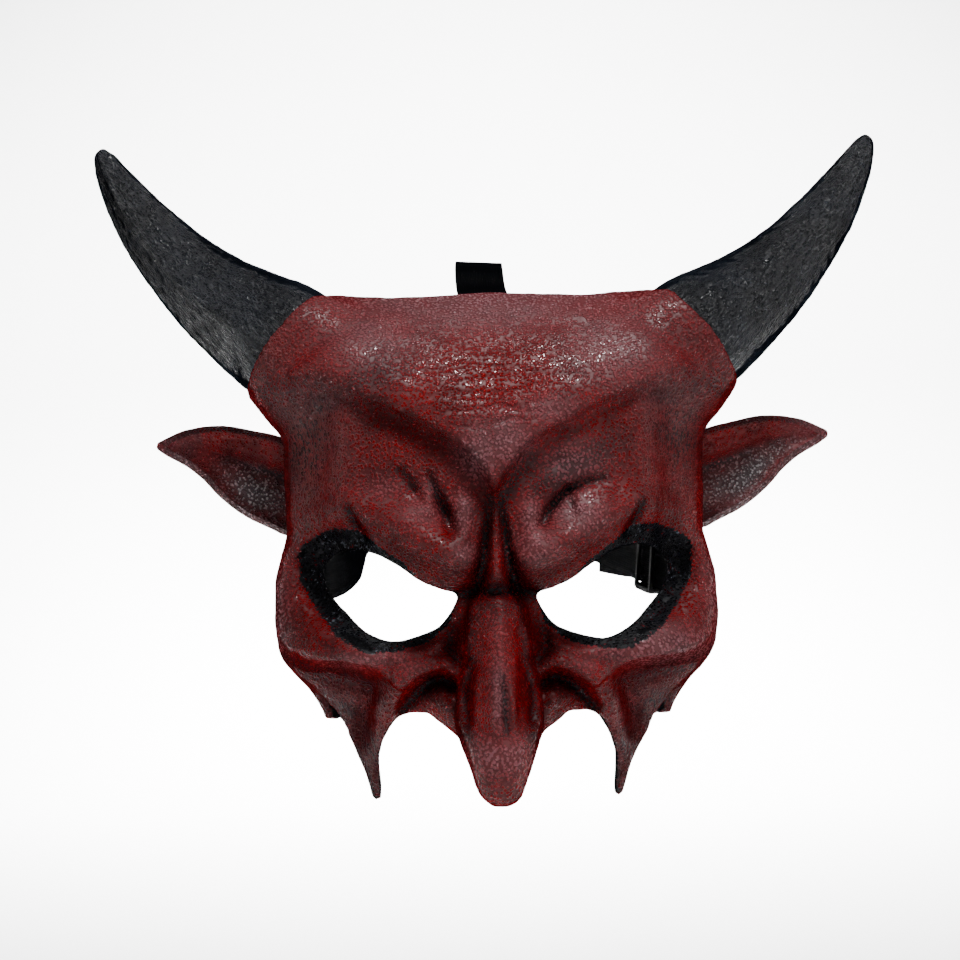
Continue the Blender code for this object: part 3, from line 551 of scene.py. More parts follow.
def surface_tree(points, mesh):
    """The mesh's surface, ready for nearest-point and ray questions."""
    return BVHTree.FromPolygons(points.tolist(), [tuple(f.vertices) for f in mesh.polygons])


def mould_shell():
    shell = block("face_skin", 0.0, REAR_RIM_Y, relief, None, (FACE_FOOT, FACE_TOP), 1.2)
    for side in (-1, 1):
        carve(shell, tube_about_sleeve("sleeve", side, SLEEVE_STATIONS), "UNION")
    hollow = block("hollow", SHELL_WALL, REAR_RIM_Y + 12.0, hollow_relief, HOLLOW_LIMIT,
                   (FACE_FOOT - 6.0, FACE_TOP + 6.0), 2.4)
    inner = surface_tree(read_points(hollow.data), hollow.data)
    carve(shell, hollow, "DIFFERENCE")
    top = np.concatenate([whole_outline(UPPER_OUTLINE), [(130.0, 150.0), (-130.0, 150.0)]])
    carve(shell, sight_prism("above", top, -60.0, 80.0), "DIFFERENCE")
    carve(shell, side_prism("top_sweep", TOP_SWEEP, -56.0, 56.0), "DIFFERENCE")
    foot = np.concatenate([whole_outline(LOWER_OUTLINE, RIGHT_FANG_SHIFT),
                           [(130.0, -160.0), (-130.0, -160.0)]])
    carve(shell, sight_prism("below", foot, -95.0, 80.0), "DIFFERENCE")
    carve(shell, nose_form("nose", NOSE_STATIONS), "UNION")
    carve(shell, nose_form("nose_hollow", NOSE_CAVITY, 32), "DIFFERENCE")
    eye = through_points(EYE_OUTLINE, 4, closed=True)
    for side in (-1, 1):
        carve(shell, sight_prism("eye", eye * [side, 1], -80.0, 40.0), "DIFFERENCE")
        carve(shell, tube_about_sleeve(
            "socket", side, [(-SOCKET_DEPTH, SOCKET_RADIUS, SOCKET_RADIUS),
                             (6.0, SOCKET_RADIUS, SOCKET_RADIUS)]), "DIFFERENCE")
        carve(shell, side_prism("notch", FANG_NOTCH, side * 58.5, side * 110.0), "DIFFERENCE")
    carve(shell, side_prism("rear_sweep", REAR_SWEEP, -120.0, 120.0), "DIFFERENCE")
    remesh(shell, VOXEL)
    return shell, inner


face_skin, hollow_tree = mould_shell()
print("face skin:", len(face_skin.data.vertices), "points")

# %% [markdown]
# ### Easing the joins
# The remesh leaves tiny steps, and the sleeves and the nose meet the face in hard creases. Points
# are drawn towards the mean of their neighbours: a little everywhere, more round the sleeve roots
# and the nose, and not at all at the crisp sleeve rims.

# %% Smoothing with a weight for each point
def read_edges(mesh):
    edges = np.empty(len(mesh.edges) * 2, int)
    mesh.edges.foreach_get("vertices", edges)
    return edges.reshape(-1, 2)


def neighbour_mean(values, edges, degree):
    total = np.zeros(values.shape)
    for column in range(values.shape[1]):
        for near, far in (edges.T, edges.T[::-1]):
            total[:, column] += np.bincount(near, values[far, column], len(values))
    return total / degree[:, None]


STEP_IN, STEP_OUT = 0.5, -0.52


def ease(points, edges, weight, rounds, keep_size=True):
    """Laplacian smoothing; the step back out keeps thin forms from shrinking."""
    degree = np.maximum(np.bincount(edges.ravel(), minlength=len(points)), 1)
    for step in ((STEP_IN, STEP_OUT) if keep_size else (STEP_IN,)) * rounds:
        pull = neighbour_mean(points, edges, degree) - points
        points = points + weight[:, None] * step * pull
    return points


def sleeve_distance(points, side):
    """Distance along the sleeve's axis from its rim, and square to it."""
    away = points - SLEEVE_RIM * [side, 1, 1]
    axis = sleeve_frame(side)[0]
    along = away @ axis
    return along, np.linalg.norm(away - np.outer(along, axis), axis=1)


def ease_shell(shell):
    points, edges = read_points(shell.data), read_edges(shell.data)
    everywhere = np.ones(len(points))
    points = ease(points, edges, everywhere, 3)
    drawn_x, drawn_z = to_drawing(points)
    below_top = smooth_ramp(101.0 - drawn_z, 0.0, 6.0)
    root = np.zeros(len(points))
    for side in (-1, 1):
        along, out = sleeve_distance(points, side)
        near = smooth_ramp(-along, 5.0, 11.0) * smooth_ramp(44.0 + along, 0.0, 14.0)
        root = np.maximum(root, near * smooth_ramp(46.0 - out, 0.0, 12.0))
    points = ease(points, edges, root * (0.25 + 0.75 * below_top), 45, keep_size=False)
    nose_root = np.exp(-(((np.abs(drawn_x) - 15.0) / 7.0) ** 2)) * smooth_ramp(-drawn_z, -2.0, 10.0)
    nose_root *= smooth_ramp(68.0 + drawn_z, 0.0, 10.0) * smooth_ramp(-points[:, 1], 14.0, 20.0)
    points = ease(points, edges, nose_root, 10, keep_size=False)
    write_points(shell.data, points)
    return root


sleeve_root = ease_shell(face_skin)
print("eased points near the sleeves:", int((sleeve_root > 0.5).sum()))

# %% [markdown]
# ### Small folds
# The furrows between the brows, the wedge over the nose, the arched folds of the snarl and the
# wrinkles of the forehead are narrower than the mould's big folds. They are pressed into the
# remeshed skin: each point of the outside moves a little along its sight line. Left and right
# differ, because the face was modelled by hand.

# %% Strokes of the small folds
BOTH_SMALL = (
    [(1, 25, -1.5, 1.6), (3.2, 14, -2.8, 1.8), (4.6, 4, -3.4, 2.2), (6, -4, -4, 2.6),
     (7.5, -10, -4.5, 3)],
    [(0, 20, 0.8, 1.8), (0, 8, 2, 2.6), (0, -5, 2.4, 3.2)],
    [(0, -12, -3.5, 2.6), (8, -12.5, -4, 2.8), (14, -13, -3, 2.6)],
    [(57, 21, -1.5, 1.6), (54.5, 16, -2.5, 1.8), (51, 9.5, -2, 1.8)],
    [(17, -48, -3.5, 2.2), (22, -45, -6, 2.6), (28, -47, -6.5, 3.2), (33, -51.5, -5, 3),
     (37.5, -57, -3, 2.6)],
    [(24, -51, 1, 3), (20, -54, 2.2, 3.4), (16.5, -61, 2.4, 3.4), (13.5, -68, 1, 3)],
    [(84, -30, 0.8, 2.2), (72, -35.5, 1.8, 2.6), (60, -38.5, 2, 2.6), (48, -42, 1.2, 2.4)],
    [(82, -37, -1, 3), (70, -42.5, -2.4, 3.4), (58, -45.5, -2.4, 3.4), (49, -49, -1.2, 3)],
    [(11.5, -27, 1.6, 2.2), (14.5, -35, 2, 2.4)],
    [(17.5, -26, -2, 2.4), (18.5, -34, -2.6, 2.6), (14.5, -39.5, -2.4, 2.6)],
    [(22, -31.5, 1.8, 2.2), (31, -36, 1.8, 2.4), (42, -36.5, 1.2, 2.4)],
    [(49, -47, -2, 3), (52, -58, -2.5, 3), (52.5, -68, -1.5, 3)],
    [(9.5, -40, -1.5, 2.2), (13, -50, -3, 2.4), (12.5, -62, -2.5, 2.4)],
)
LEFT_SMALL = (
    [(25.5, 33, -1.5, 2), (22.5, 26, -3.2, 2.2), (19.5, 19, -3.6, 2.2), (17.5, 12, -2.4, 2.2)],
    [(12.5, 20, 2.6, 3.6), (12, 9, 2.2, 3.6)],
    [(21.5, 31, 1.6, 3), (27, 20, 2.2, 4.5), (34, 18, 1.2, 5)],
    [(36, 34, -1.4, 2.4), (31, 27, -1.8, 2.4), (27.5, 22, -1, 2)],
    [(60, -33, 1.2, 3.5), (45, -38, 1.6, 3)],
)
RIGHT_SMALL = (
    [(42, 30.5, -1.2, 1.8), (35, 29.5, -2.2, 1.8), (28, 26.5, -3, 1.9), (22, 20.5, -3.4, 2),
     (18.5, 14, -2.2, 2)],
    [(29, 27, -1, 1.5), (29.5, 21, -1.8, 1.5), (30.5, 17, -0.6, 1.4)],
    [(13, 18, 2.2, 3.4), (12.5, 8, 2, 3.4)],
    [(33, 21, 1.6, 4.5), (42, 22, 1.4, 5)],
    [(15, 33, -1.6, 3), (24, 38, -1.4, 3.4)],
)
NOSE_SMALL = (
    [(1.6, -42, -0.5, 1.1), (1.8, -50, -1.5, 1.2), (2.2, -62, -1.7, 1.3), (2.4, -70, -0.4, 1.2)],
    [(1, -16, 0.6, 3), (0.6, -30, 1.5, 2.4), (0.2, -42, 1.4, 2.2), (-1.2, -50, 1.2, 2),
     (-1.2, -66, 1, 2)],
    [(5, -48, 0.9, 1.8), (5.6, -64, 1, 1.8)],
    [(-6, -26, -0.8, 2.6), (-6.5, -46, -1, 2.6), (-6, -64, -0.6, 2.4)],
    [(8, -26, -0.8, 2.6), (9.5, -46, -1.2, 2.6), (9, -64, -0.6, 2.4)],
)
FOLD_STRENGTH = 1.3
WRINKLE_SPAN, WRINKLE_LEVELS = 42.0, (52.5, 57.0, 61.0, 65.5, 70.0, 73.5)


def wrinkles(x, z):
    """Thin level lines across the middle of the forehead, each with its own sag."""
    out = np.zeros(x.shape)
    for k, level in enumerate(WRINKLE_LEVELS):
        line = level + 1.6 * np.sin(x / 9.0 + 1.7 * k) + 0.5 * np.sin(x / 3.1 + k) + (x / 26.0) ** 2
        strength = np.exp(-(((x - 6.0 * math.sin(2.1 * k)) / (WRINKLE_SPAN * 0.55)) ** 4))
        out -= (0.45 + 0.15 * (k % 2)) * strength * np.exp(-(((z - line) / 0.9) ** 2))
    return out


def small_relief(x, z):
    out = strokes_sum(np.abs(x), z, BOTH_SMALL) + strokes_sum(x, z, NOSE_SMALL)
    out += np.where(x < 0, strokes_sum(-x, z, LEFT_SMALL), strokes_sum(x, z, RIGHT_SMALL))
    return out * FOLD_STRENGTH + wrinkles(x, z)


def lumps(points, size, seed=0.0):
    """Slow random swelling of hand-made clay, from -1 to 1."""
    return np.array([noise.noise((x / size + seed, y / size, z / size)) for x, y, z in points])


def is_inside(points, tree, reach=1.5):
    """True where the skin lies on the hollow's side."""
    return np.array([tree.find_nearest(p, reach)[0] is not None for p in points.tolist()])


def press_small_folds(shell):
    points, normals = read_points(shell.data), vertex_normals(shell.data)
    inside = is_inside(points, hollow_tree)
    to_eye = np.array([0.0, -VIEW_DISTANCE, VIEW_HEIGHT]) - points
    to_eye /= np.linalg.norm(to_eye, axis=1)[:, None]
    facing = smooth_ramp(np.einsum("ij,ij->i", normals, to_eye), 0.05, 0.45)
    facing[inside] = 0.0
    x, z = to_drawing(points)
    points = points + to_eye * (small_relief(x, z) * facing)[:, None]
    outer = np.where(inside, 0.0, 1.0)
    swell = 0.35 * lumps(points, 9.0) + 0.16 * lumps(points, 3.4, 7.0)
    points = points + normals * (swell * outer)[:, None]
    edges = read_edges(shell.data)
    points = ease(points, edges, np.ones(len(points)), 1)
    write_points(shell.data, points)
    return inside


face_inside = press_small_folds(face_skin)
print("points on the inside of the shell:", int(face_inside.sum()))

# %% [markdown]
# ## Paint
# The mask is painted in layers: red over the whole face, a black wash that stays in the folds and
# in the pits of the grain, and a pale greyish pink dry-brushed over what stands proud. Painted shade
# darkens the red under the brows, the cheeks and the nose, some strokes of the black are painted
# shade too, and some patches of the pale pink are painted highlights. The eye sockets are black,
# with painted glints. Each layer gets a mask, stored on the points of the mesh, made from strokes
# and round patches on the same front drawing as the folds. The sides that turn away from the front
# get painted shade, and the lining is sprayed black from inside, wherever the spray can reach.

# %% Paint masks
def patches(x, z, spots):
    """Soft oval patches: (x, z, strength, half width, half height)."""
    out = np.zeros(x.shape)
    for x0, z0, strength, wide, high in spots:
        out = np.maximum(out, strength * np.exp(-(((x - x0) / wide) ** 2 + ((z - z0) / high) ** 2)))
    return out


def lines(x, z, strokes):
    """Soft painted lines: (x, z, strength, width)."""
    out = np.zeros(x.shape)
    for stroke in strokes:
        away, strength, width = nearest_on_stroke(x, z, stroke)
        out = np.maximum(out, strength * np.exp(-((away / width) ** 2)))
    return out


# Black wash in the folds; the strokes under the cheek shelf and down the flanks of the nose are
# painted shade.
WASH_AND_SHADE_BOTH = (
    [(0, -12, 1, 3.6), (9, -12.5, 1, 3.4), (16, -13, 0.9, 3)],
    [(2, 24, 0.7, 2.2), (3.4, 14, 0.95, 2.2), (4.8, 2, 1, 2.6), (7, -10, 1, 3.4)],
    [(57, 21, 0.8, 1.8), (54.5, 16, 0.9, 2.2), (51, 9.5, 0.7, 2.4)],
    [(16, -49, 0.8, 2), (20, -46, 0.9, 2.4), (26, -47, 1, 3), (32, -52, 0.95, 2.8),
     (37, -58, 0.8, 2.4)],
    [(17.5, -25, 0.55, 3), (18.5, -33, 0.7, 3.4), (15, -38, 0.6, 3)],
    [(36, -59, 0.9, 2), (40.5, -66, 0.9, 2.2), (43, -76, 0.9, 2), (45, -91, 1, 2.6)],
    [(60, -66, 0.8, 2), (54, -78, 0.85, 2), (48.5, -91, 1, 2.4)],
    [(82, -36, 0.5, 3), (70, -42, 0.65, 3.4), (58, -44, 0.65, 3.4), (49, -48, 0.5, 3)],
    [(9.5, -22, 0.4, 2.4), (11, -42, 0.7, 2.4), (13, -52, 0.75, 2.4), (12.5, -68, 0.6, 2.4)],
    [(50, 61, 0.25, 3.5), (62, 63, 0.4, 5), (76, 66, 0.4, 6), (88, 66, 0.4, 6)],
)
WASH_LEFT = (
    [(25.5, 33, 0.4, 2.2), (22.5, 26, 0.9, 2.4), (19.5, 19, 0.95, 2.4), (17.5, 12, 0.5, 2.2)],
    [(37, 35, 0.5, 3), (31, 28, 0.6, 3)],
    [(34, 74, 0.35, 6), (44, 72, 0.55, 7), (54, 69, 0.5, 5)],
)
WASH_RIGHT = (
    [(42, 30.5, 0.5, 2.2), (35, 29.5, 0.8, 2.4), (28, 26.5, 1, 2.4), (22, 20.5, 1, 2.4),
     (18.5, 14, 0.7, 2.2)],
    [(29, 27, 0.4, 1.5), (29.5, 21, 0.7, 1.5)],
    [(2, 22, 0.9, 4), (8, 31, 0.7, 5), (14, 38, 0.5, 4)],
    [(18, 29, 0.55, 7), (27, 35, 0.6, 8), (38, 39, 0.5, 7), (46, 43, 0.35, 6)],
)
WASH_NOSE = (
    [(1.6, -44, 0.5, 1.2), (2, -54, 0.95, 1.4), (2.4, -67, 0.8, 1.4)],
    [(-6, -16, 0.55, 5), (0, -19, 0.35, 5), (7, -16, 0.6, 5)],
)
# Pale dry brush on raised places; the patches on the top of the forehead, on the ridge of the nose,
# on the brows and on the cheekbones are painted highlights.
DRYBRUSH_AND_HIGHLIGHT_BOTH = (
    (0, 99, 1, 60, 12), (44, 88, 0.7, 22, 12), (0.6, -30, 0.3, 3, 12), (0, -52, 0.85, 3.2, 16),
    (2.5, -76, 0.75, 8, 8), (48, -37, 0.6, 14, 3.5), (86, -14, 0.6, 6, 22), (33, -41, 0.35, 6, 4),
)
DRYBRUSH_AND_HIGHLIGHT_LEFT = (
    (28, 19, 0.6, 9, 6), (12.5, 18, 0.8, 3.4, 9), (25, 27, 0.5, 4, 5), (12, 3, 0.6, 5, 5),
    (5, 42, 0.8, 9, 11), (46, 84, 0.55, 18, 12), (42, 28, 0.4, 8, 5),
)
DRYBRUSH_AND_HIGHLIGHT_RIGHT = (
    (32, 18, 1, 11, 8), (14, 16, 0.85, 4.5, 8), (4, 46, 0.8, 12, 10), (16, 6, 0.75, 9, 8),
    (60, -33, 0.9, 22, 7), (22, 58, 0.65, 12, 6), (30, 36, 0.8, 12, 8), (45, 82, 0.8, 20, 14),
)
STREAK_BOTH = (
    (72, 46, 1, 17, 26), (66, 60, 0.9, 14, 10), (60, -56, 1, 18, 13), (48, -72, 0.9, 9, 18),
    (88, 84, 0.6, 16, 16),
)
# Painted shade: darker red on the left cheek and under the V of the forehead on the left, and on
# both sides under the brows, under the cheek shelf, on the nostril wings and down into the fangs.
SHADE_LEFT = (
    [(82, -14, 0.7, 9), (72, -26, 0.7, 8), (60, -32, 0.5, 5)],
    [(4, 25, 1, 7), (12, 36, 1, 6.5), (22, 44, 1, 6.5), (34, 51, 0.9, 6), (46, 56, 0.7, 6)],
)
SHADE_BOTH = (
    [(82, -44, 0.8, 8), (66, -52, 0.95, 9), (56, -62, 0.95, 8), (50, -80, 0.9, 6)],
    [(24, -50, 0.7, 5), (17, -60, 0.8, 5), (13, -72, 0.6, 4)],
    [(10, -7, 0.5, 4), (20, -5, 0.6, 4), (30, 0, 0.6, 4), (40, 7, 0.5, 4)],
    [(72, -42, 0.5, 3), (58, -42, 0.5, 3), (46, -46, 0.5, 3)],
)
SOCKET_BAND = (
    [(17, -13.5, 0.8, 2.4), (20, -23, 0.9, 2.6), (28, -29, 1, 3), (41, -32, 1, 3.4),
     (50, -30, 1, 5.8), (57.5, -24, 1, 7.2), (64, -15, 1, 7.2), (69, -5, 1, 7.4), (69, 3, 1, 7.4),
     (62, 8, 1, 6), (54, 8.5, 1, 4.6), (46, 4, 1, 2.6)],
    [(46, 4, 0.9, 2.8), (37, -1, 0.6, 2), (29, -7, 0.4, 1.8)],
)


# How dark the painted shade on the sides that turn away from the front is.
SIDE_SHADE = 0.5
SPRAY_FROM = ((0.0, 75.0, 25.0), (0.0, 40.0, -25.0), (0.0, 10.0, -45.0))


def reached_from_inside(shell, points, facing):
    """Points that a spray from where the head goes can reach."""
    tree = surface_tree(points * MM, shell.data)
    reached = np.zeros(len(points), bool)
    for source in np.array(SPRAY_FROM):
        path = source - points
        far = np.linalg.norm(path, axis=1)
        for i in np.flatnonzero((facing * path).sum(axis=1) > 0.0):
            start = Vector((points[i] + facing[i] * 0.3) * MM)
            hit = tree.ray_cast(start, Vector(path[i]), far[i] * MM)[0]
            reached[i] |= hit is None
    return reached


def paint_masks(shell):
    points = read_points(shell.data)
    x, z = to_drawing(points)
    left, far = x < 0, np.abs(x)
    mask = {}
    wash_and_shade = lines(far, z, WASH_AND_SHADE_BOTH)
    wash_and_shade = np.maximum(wash_and_shade, np.where(left, lines(far, z, WASH_LEFT), lines(far, z, WASH_RIGHT)))
    facing = vertex_normals(shell.data)
    # Sides that turn away from the front are darkened with painted shade, carried in the wash mask.
    turned = smooth_ramp(facing[:, 1], -0.55, -0.05)
    mask["wash_and_shade"] = np.maximum.reduce([wash_and_shade, lines(x, z, WASH_NOSE), SIDE_SHADE * turned])
    # Dry brush and painted highlights share one mask.
    drybrush_and_highlight = patches(far, z, DRYBRUSH_AND_HIGHLIGHT_BOTH)
    mask["drybrush_and_highlight"] = np.maximum(drybrush_and_highlight, np.where(left, patches(far, z, DRYBRUSH_AND_HIGHLIGHT_LEFT),
                                             patches(far, z, DRYBRUSH_AND_HIGHLIGHT_RIGHT)))
    mask["streak"] = patches(far, z, STREAK_BOTH)
    # The deep mask is painted shade.
    shade_left = np.where(left, lines(far, z, SHADE_LEFT), 0.0)
    mask["deep"] = np.maximum(lines(far, z, SHADE_BOTH), shade_left)
    mask["socket"] = smooth_ramp(lines(far, z, SOCKET_BAND), 0.28, 0.62)
    mask["inside"] = reached_from_inside(shell, points, facing).astype(float)
    for name, values in mask.items():
        store_mask(shell.data, name, values)
    return mask


masks = paint_masks(face_skin)
print({name: round(float(values.mean()), 3) for name, values in masks.items()})

# %% [markdown]
# ### The grain of foam latex
# Foam latex takes the pebbled grain of its mould. The face, the ears and the horns share it, so it
# is one node group: it takes a place and a pebble size and gives the height of the grain, its tops
# (where dry-brushed paint and painted glints catch) and its pits (which are painted darker). Streak
# stretches the grain into short upright hairs, as on the temples and the fangs.

# %% Node helpers
class Graph:
    """A short way to place and wire shader nodes."""

    def __init__(self, tree):
        self.tree = tree

    def node(self, kind, **settings):
        made = self.tree.nodes.new(kind)
        for name, value in settings.items():
            setattr(made, name, value)
        return made

    def wire(self, source, target):
        self.tree.links.new(source, target)

    def put(self, value, socket):
        if isinstance(value, bpy.types.NodeSocket):
            self.wire(value, socket)
        else:
            socket.default_value = value

    def math(self, operation, a, b=0.0, clamp=False):
        made = self.node("ShaderNodeMath", operation=operation, use_clamp=clamp)
        self.put(a, made.inputs[0])
        self.put(b, made.inputs[1])
        return made.outputs[0]

    def mix(self, amount, a, b):
        made = self.node("ShaderNodeMix", data_type="RGBA")
        self.put(amount, made.inputs[0])
        self.put(a, made.inputs[6])
        self.put(b, made.inputs[7])
        return made.outputs[2]

    def blend(self, amount, a, b):
        made = self.node("ShaderNodeMix", data_type="FLOAT")
        self.put(amount, made.inputs[0])
        self.put(a, made.inputs[2])
        self.put(b, made.inputs[3])
        return made.outputs[0]

    def ramp(self, value, low, high, to_low=0.0, to_high=1.0):
        made = self.node("ShaderNodeMapRange", interpolation_type="SMOOTHSTEP")
        for socket, number in zip(made.inputs, (value, low, high, to_low, to_high)):
            self.put(number, socket)
        return made.outputs[0]

    def noise(self, place, scale, detail=2.0, rough=0.5, distortion=0.0):
        made = self.node("ShaderNodeTexNoise")
        self.put(place, made.inputs["Vector"])
        for name, number in (("Scale", scale), ("Detail", detail), ("Roughness", rough),
                             ("Distortion", distortion)):
            self.put(number, made.inputs[name])
        return made.outputs["Fac"]

    def vector(self, operation, a, b=(0.0, 0.0, 0.0)):
        made = self.node("ShaderNodeVectorMath", operation=operation)
        self.put(a, made.inputs[0])
        self.put(b, made.inputs[1])
        return made.outputs[0]


def new_group(name, inputs, outputs):
    """An empty node group with named sockets: (name, kind, default)."""
    tree = bpy.data.node_groups.new(name, "ShaderNodeTree")
    for label, kind, default in inputs:
        socket = tree.interface.new_socket(label, in_out="INPUT", socket_type=kind)
        if default is not None:
            socket.default_value = default
    for label, kind in outputs:
        tree.interface.new_socket(label, in_out="OUTPUT", socket_type=kind)
    graph = Graph(tree)
    return graph, graph.node("NodeGroupInput"), graph.node("NodeGroupOutput")


HAIR_STRETCH = (1.5, 1.5, 0.33)


def grain_group():
    graph, given, result = new_group(
        "pebbled_grain",
        [("Vector", "NodeSocketVector", None), ("Pebble Size", "NodeSocketFloat", 0.0018),
         ("Streak", "NodeSocketFloat", 0.0)],
        [("Height", "NodeSocketFloat"), ("Tops", "NodeSocketFloat"), ("Pits", "NodeSocketFloat")])
    scale = graph.math("DIVIDE", 1.0, given.outputs["Pebble Size"])
    cells = graph.node("ShaderNodeTexVoronoi", feature="SMOOTH_F1")
    graph.wire(given.outputs["Vector"], cells.inputs["Vector"])
    graph.wire(scale, cells.inputs["Scale"])
    cells.inputs["Smoothness"].default_value = 0.25
    pebbles = graph.ramp(cells.outputs["Distance"], 0.05, 0.75, 1.0, 0.0)
    fine = graph.math("MULTIPLY", scale, 0.9)
    crumple = graph.noise(given.outputs["Vector"], fine, 5.0, 0.68, 0.5)
    leather = graph.blend(0.6, pebbles, crumple)
    drawn_out = graph.vector("MULTIPLY", given.outputs["Vector"], HAIR_STRETCH)
    hairs = graph.noise(drawn_out, fine, 3.0, 0.6, 0.4)
    mixed = graph.blend(graph.math("MULTIPLY", given.outputs["Streak"], 0.75), leather, hairs)
    height = graph.ramp(mixed, 0.32, 0.66)
    graph.wire(height, result.inputs["Height"])
    graph.wire(graph.ramp(height, 0.62, 0.90), result.inputs["Tops"])
    graph.wire(graph.ramp(height, 0.08, 0.42, 1.0, 0.0), result.inputs["Pits"])
    return graph.tree


GRAIN = grain_group()
print("group", GRAIN.name, [s.name for s in GRAIN.interface.items_tree])

# %% [markdown]
# ### Painted skin
# The material lays the coats down in the painter's order. Every mask comes from the mesh, and the
# grain decides how far each coat reaches, so no edge between two colours is ever clean.

# %% Painted skin material
RED_BRIGHT = (0.30, 0.004, 0.006, 1.0)
RED_DARK = (0.13, 0.0014, 0.002, 1.0)
# Dark red that the pits of the grain are painted with.
PIT_RED = (0.030, 0.0035, 0.0045, 1.0)
# Pale pink of the dry brush and of painted highlights.
PALE_PINK = (0.38, 0.185, 0.205, 1.0)
HAIR_GREY = (0.050, 0.026, 0.028, 1.0)
# Near-black of the wash and of painted shade.
WASH_AND_SHADE_BLACK = (0.007, 0.0045, 0.006, 1.0)
SOCKET_BLACK = (0.004, 0.0045, 0.0065, 1.0)
# Grey-blue of the painted glints in the black sockets.
SOCKET_GLINT_GREY = (0.20, 0.22, 0.26, 1.0)
LINING_GREY = (0.006, 0.006, 0.007, 1.0)
PEBBLE, HORN_PEBBLE, GRAIN_DEPTH = 0.0012, 0.0011, 0.0008


def new_material(name):
    material = bpy.data.materials.new(name)
    material.use_nodes = True
    graph = Graph(material.node_tree)
    return material, graph, material.node_tree.nodes["Principled BSDF"]


def place_grain(graph, size, streak=0.0):
    place = graph.node("ShaderNodeTexCoord").outputs["Object"]
    grain = graph.node("ShaderNodeGroup", node_tree=GRAIN)
    graph.wire(place, grain.inputs["Vector"])
    graph.put(size, grain.inputs["Pebble Size"])
    graph.put(streak, grain.inputs["Streak"])
    return place, grain.outputs


def add_bump(graph, shader, height, strength, distance):
    bump = graph.node("ShaderNodeBump")
    bump.inputs["Strength"].default_value = strength
    bump.inputs["Distance"].default_value = distance
    graph.wire(height, bump.inputs["Height"])
    graph.wire(bump.outputs["Normal"], shader.inputs["Normal"])


SQUARE_ON = 0.22


def dull_edges(graph, shader, level, reach=0.62):
    """Porous latex shines where it is seen square on and goes dull where it turns away."""
    facing = graph.node("ShaderNodeLayerWeight").outputs["Facing"]
    shine = graph.ramp(facing, SQUARE_ON, reach, level, 0.0)
    graph.wire(shine, shader.inputs["Specular IOR Level"])


def painted_skin_material():
    material, graph, shader = new_material("painted_skin")
    mask = {name: graph.node("ShaderNodeAttribute", attribute_name=name).outputs["Fac"]
            for name in ("wash_and_shade", "drybrush_and_highlight", "streak", "deep", "socket", "inside")}
    place, grain = place_grain(graph, PEBBLE, mask["streak"])
    height = grain["Height"]
    broad = graph.noise(place, 55.0, 3.0, 0.6)
    # The red goes darker where the deep mask lays painted shade.
    tint = graph.math("SUBTRACT", graph.ramp(broad, 0.30, 0.62, 0.3, 1.0), mask["deep"], clamp=True)
    red = graph.mix(tint, RED_DARK, RED_BRIGHT)
    hair = graph.math("MULTIPLY", mask["streak"], graph.ramp(height, 0.42, 0.60, 0.35, 0.95))
    coat = graph.mix(hair, red, HAIR_GREY)
    # Pale pink dry brush on the raised grain, with painted highlights.
    brushed_and_highlight = graph.math("MULTIPLY", mask["drybrush_and_highlight"], graph.ramp(height, 0.30, 0.70, 0.46, 0.86))
    coat = graph.mix(brushed_and_highlight, coat, PALE_PINK)
    # The pits of the grain are painted darker all over.
    coat = graph.mix(graph.math("MULTIPLY", grain["Pits"], 0.6), coat, PIT_RED)
    # Stray pale pink on the tops of the grain: loose dry brush and painted glints.
    drift = graph.ramp(graph.noise(place, 160.0, 2.0), 0.52, 0.66, 0.0, 0.08)
    loose_brush_and_glint = graph.math("MULTIPLY", grain["Tops"], drift)
    coat = graph.mix(loose_brush_and_glint, coat, PALE_PINK)
    # Near-black wash settles in the low places of the grain; where the mask holds painted shade, the
    # same black is painted shade.
    settled_and_shaded = graph.math("MULTIPLY", mask["wash_and_shade"], graph.ramp(height, 0.44, 0.66, 1.0, 0.45))
    coat = graph.mix(settled_and_shaded, coat, WASH_AND_SHADE_BLACK)
    ragged = graph.noise(place, 210.0, 3.0, 0.6)
    broken = graph.math("ADD", ragged, graph.math("MULTIPLY", height, 0.35))
    edge = graph.math("SUBTRACT", mask["socket"], graph.math("MULTIPLY", broken, 1.1))
    black = graph.ramp(edge, -0.30, 0.05)
    coat = graph.mix(black, coat, SOCKET_BLACK)
    # Painted glints: small grey-blue specks on the black of the sockets.
    glint_spots = graph.math("MULTIPLY", graph.ramp(graph.noise(place, 700.0, 2.0, 0.6), 0.56, 0.66),
                       graph.ramp(graph.noise(place, 90.0, 2.0), 0.48, 0.66))
    socket_glints = graph.math("MULTIPLY", graph.math("MULTIPLY", glint_spots, black), 0.7)
    coat = graph.mix(socket_glints, coat, SOCKET_GLINT_GREY)
    coat = graph.mix(mask["inside"], coat, LINING_GREY)
    shine = graph.blend(black, graph.ramp(mask["deep"], 0.1, 0.9, 0.42, 0.2), 0.22)
    shine = graph.blend(mask["inside"], shine, 0.05)
    graph.wire(coat, shader.inputs["Base Color"])
    rough = graph.ramp(height, 0.20, 0.85, 0.50, 0.17)
    graph.wire(graph.blend(mask["inside"], rough, 0.9), shader.inputs["Roughness"])
    add_bump(graph, shader, height, 1.0, GRAIN_DEPTH)
    dull_edges(graph, shader, shine)
    return material


def give_material(thing, material):
    """One material for the whole piece, whatever slots the joins and cuts have left."""
    thing.data.materials.clear()
    thing.data.materials.append(material)
    thing.data.polygons.foreach_set("material_index", np.zeros(len(thing.data.polygons), int))


painted_skin = painted_skin_material()
give_material(face_skin, painted_skin)
hand_in(face_skin, "face_shell", "mask")
print("face painted")

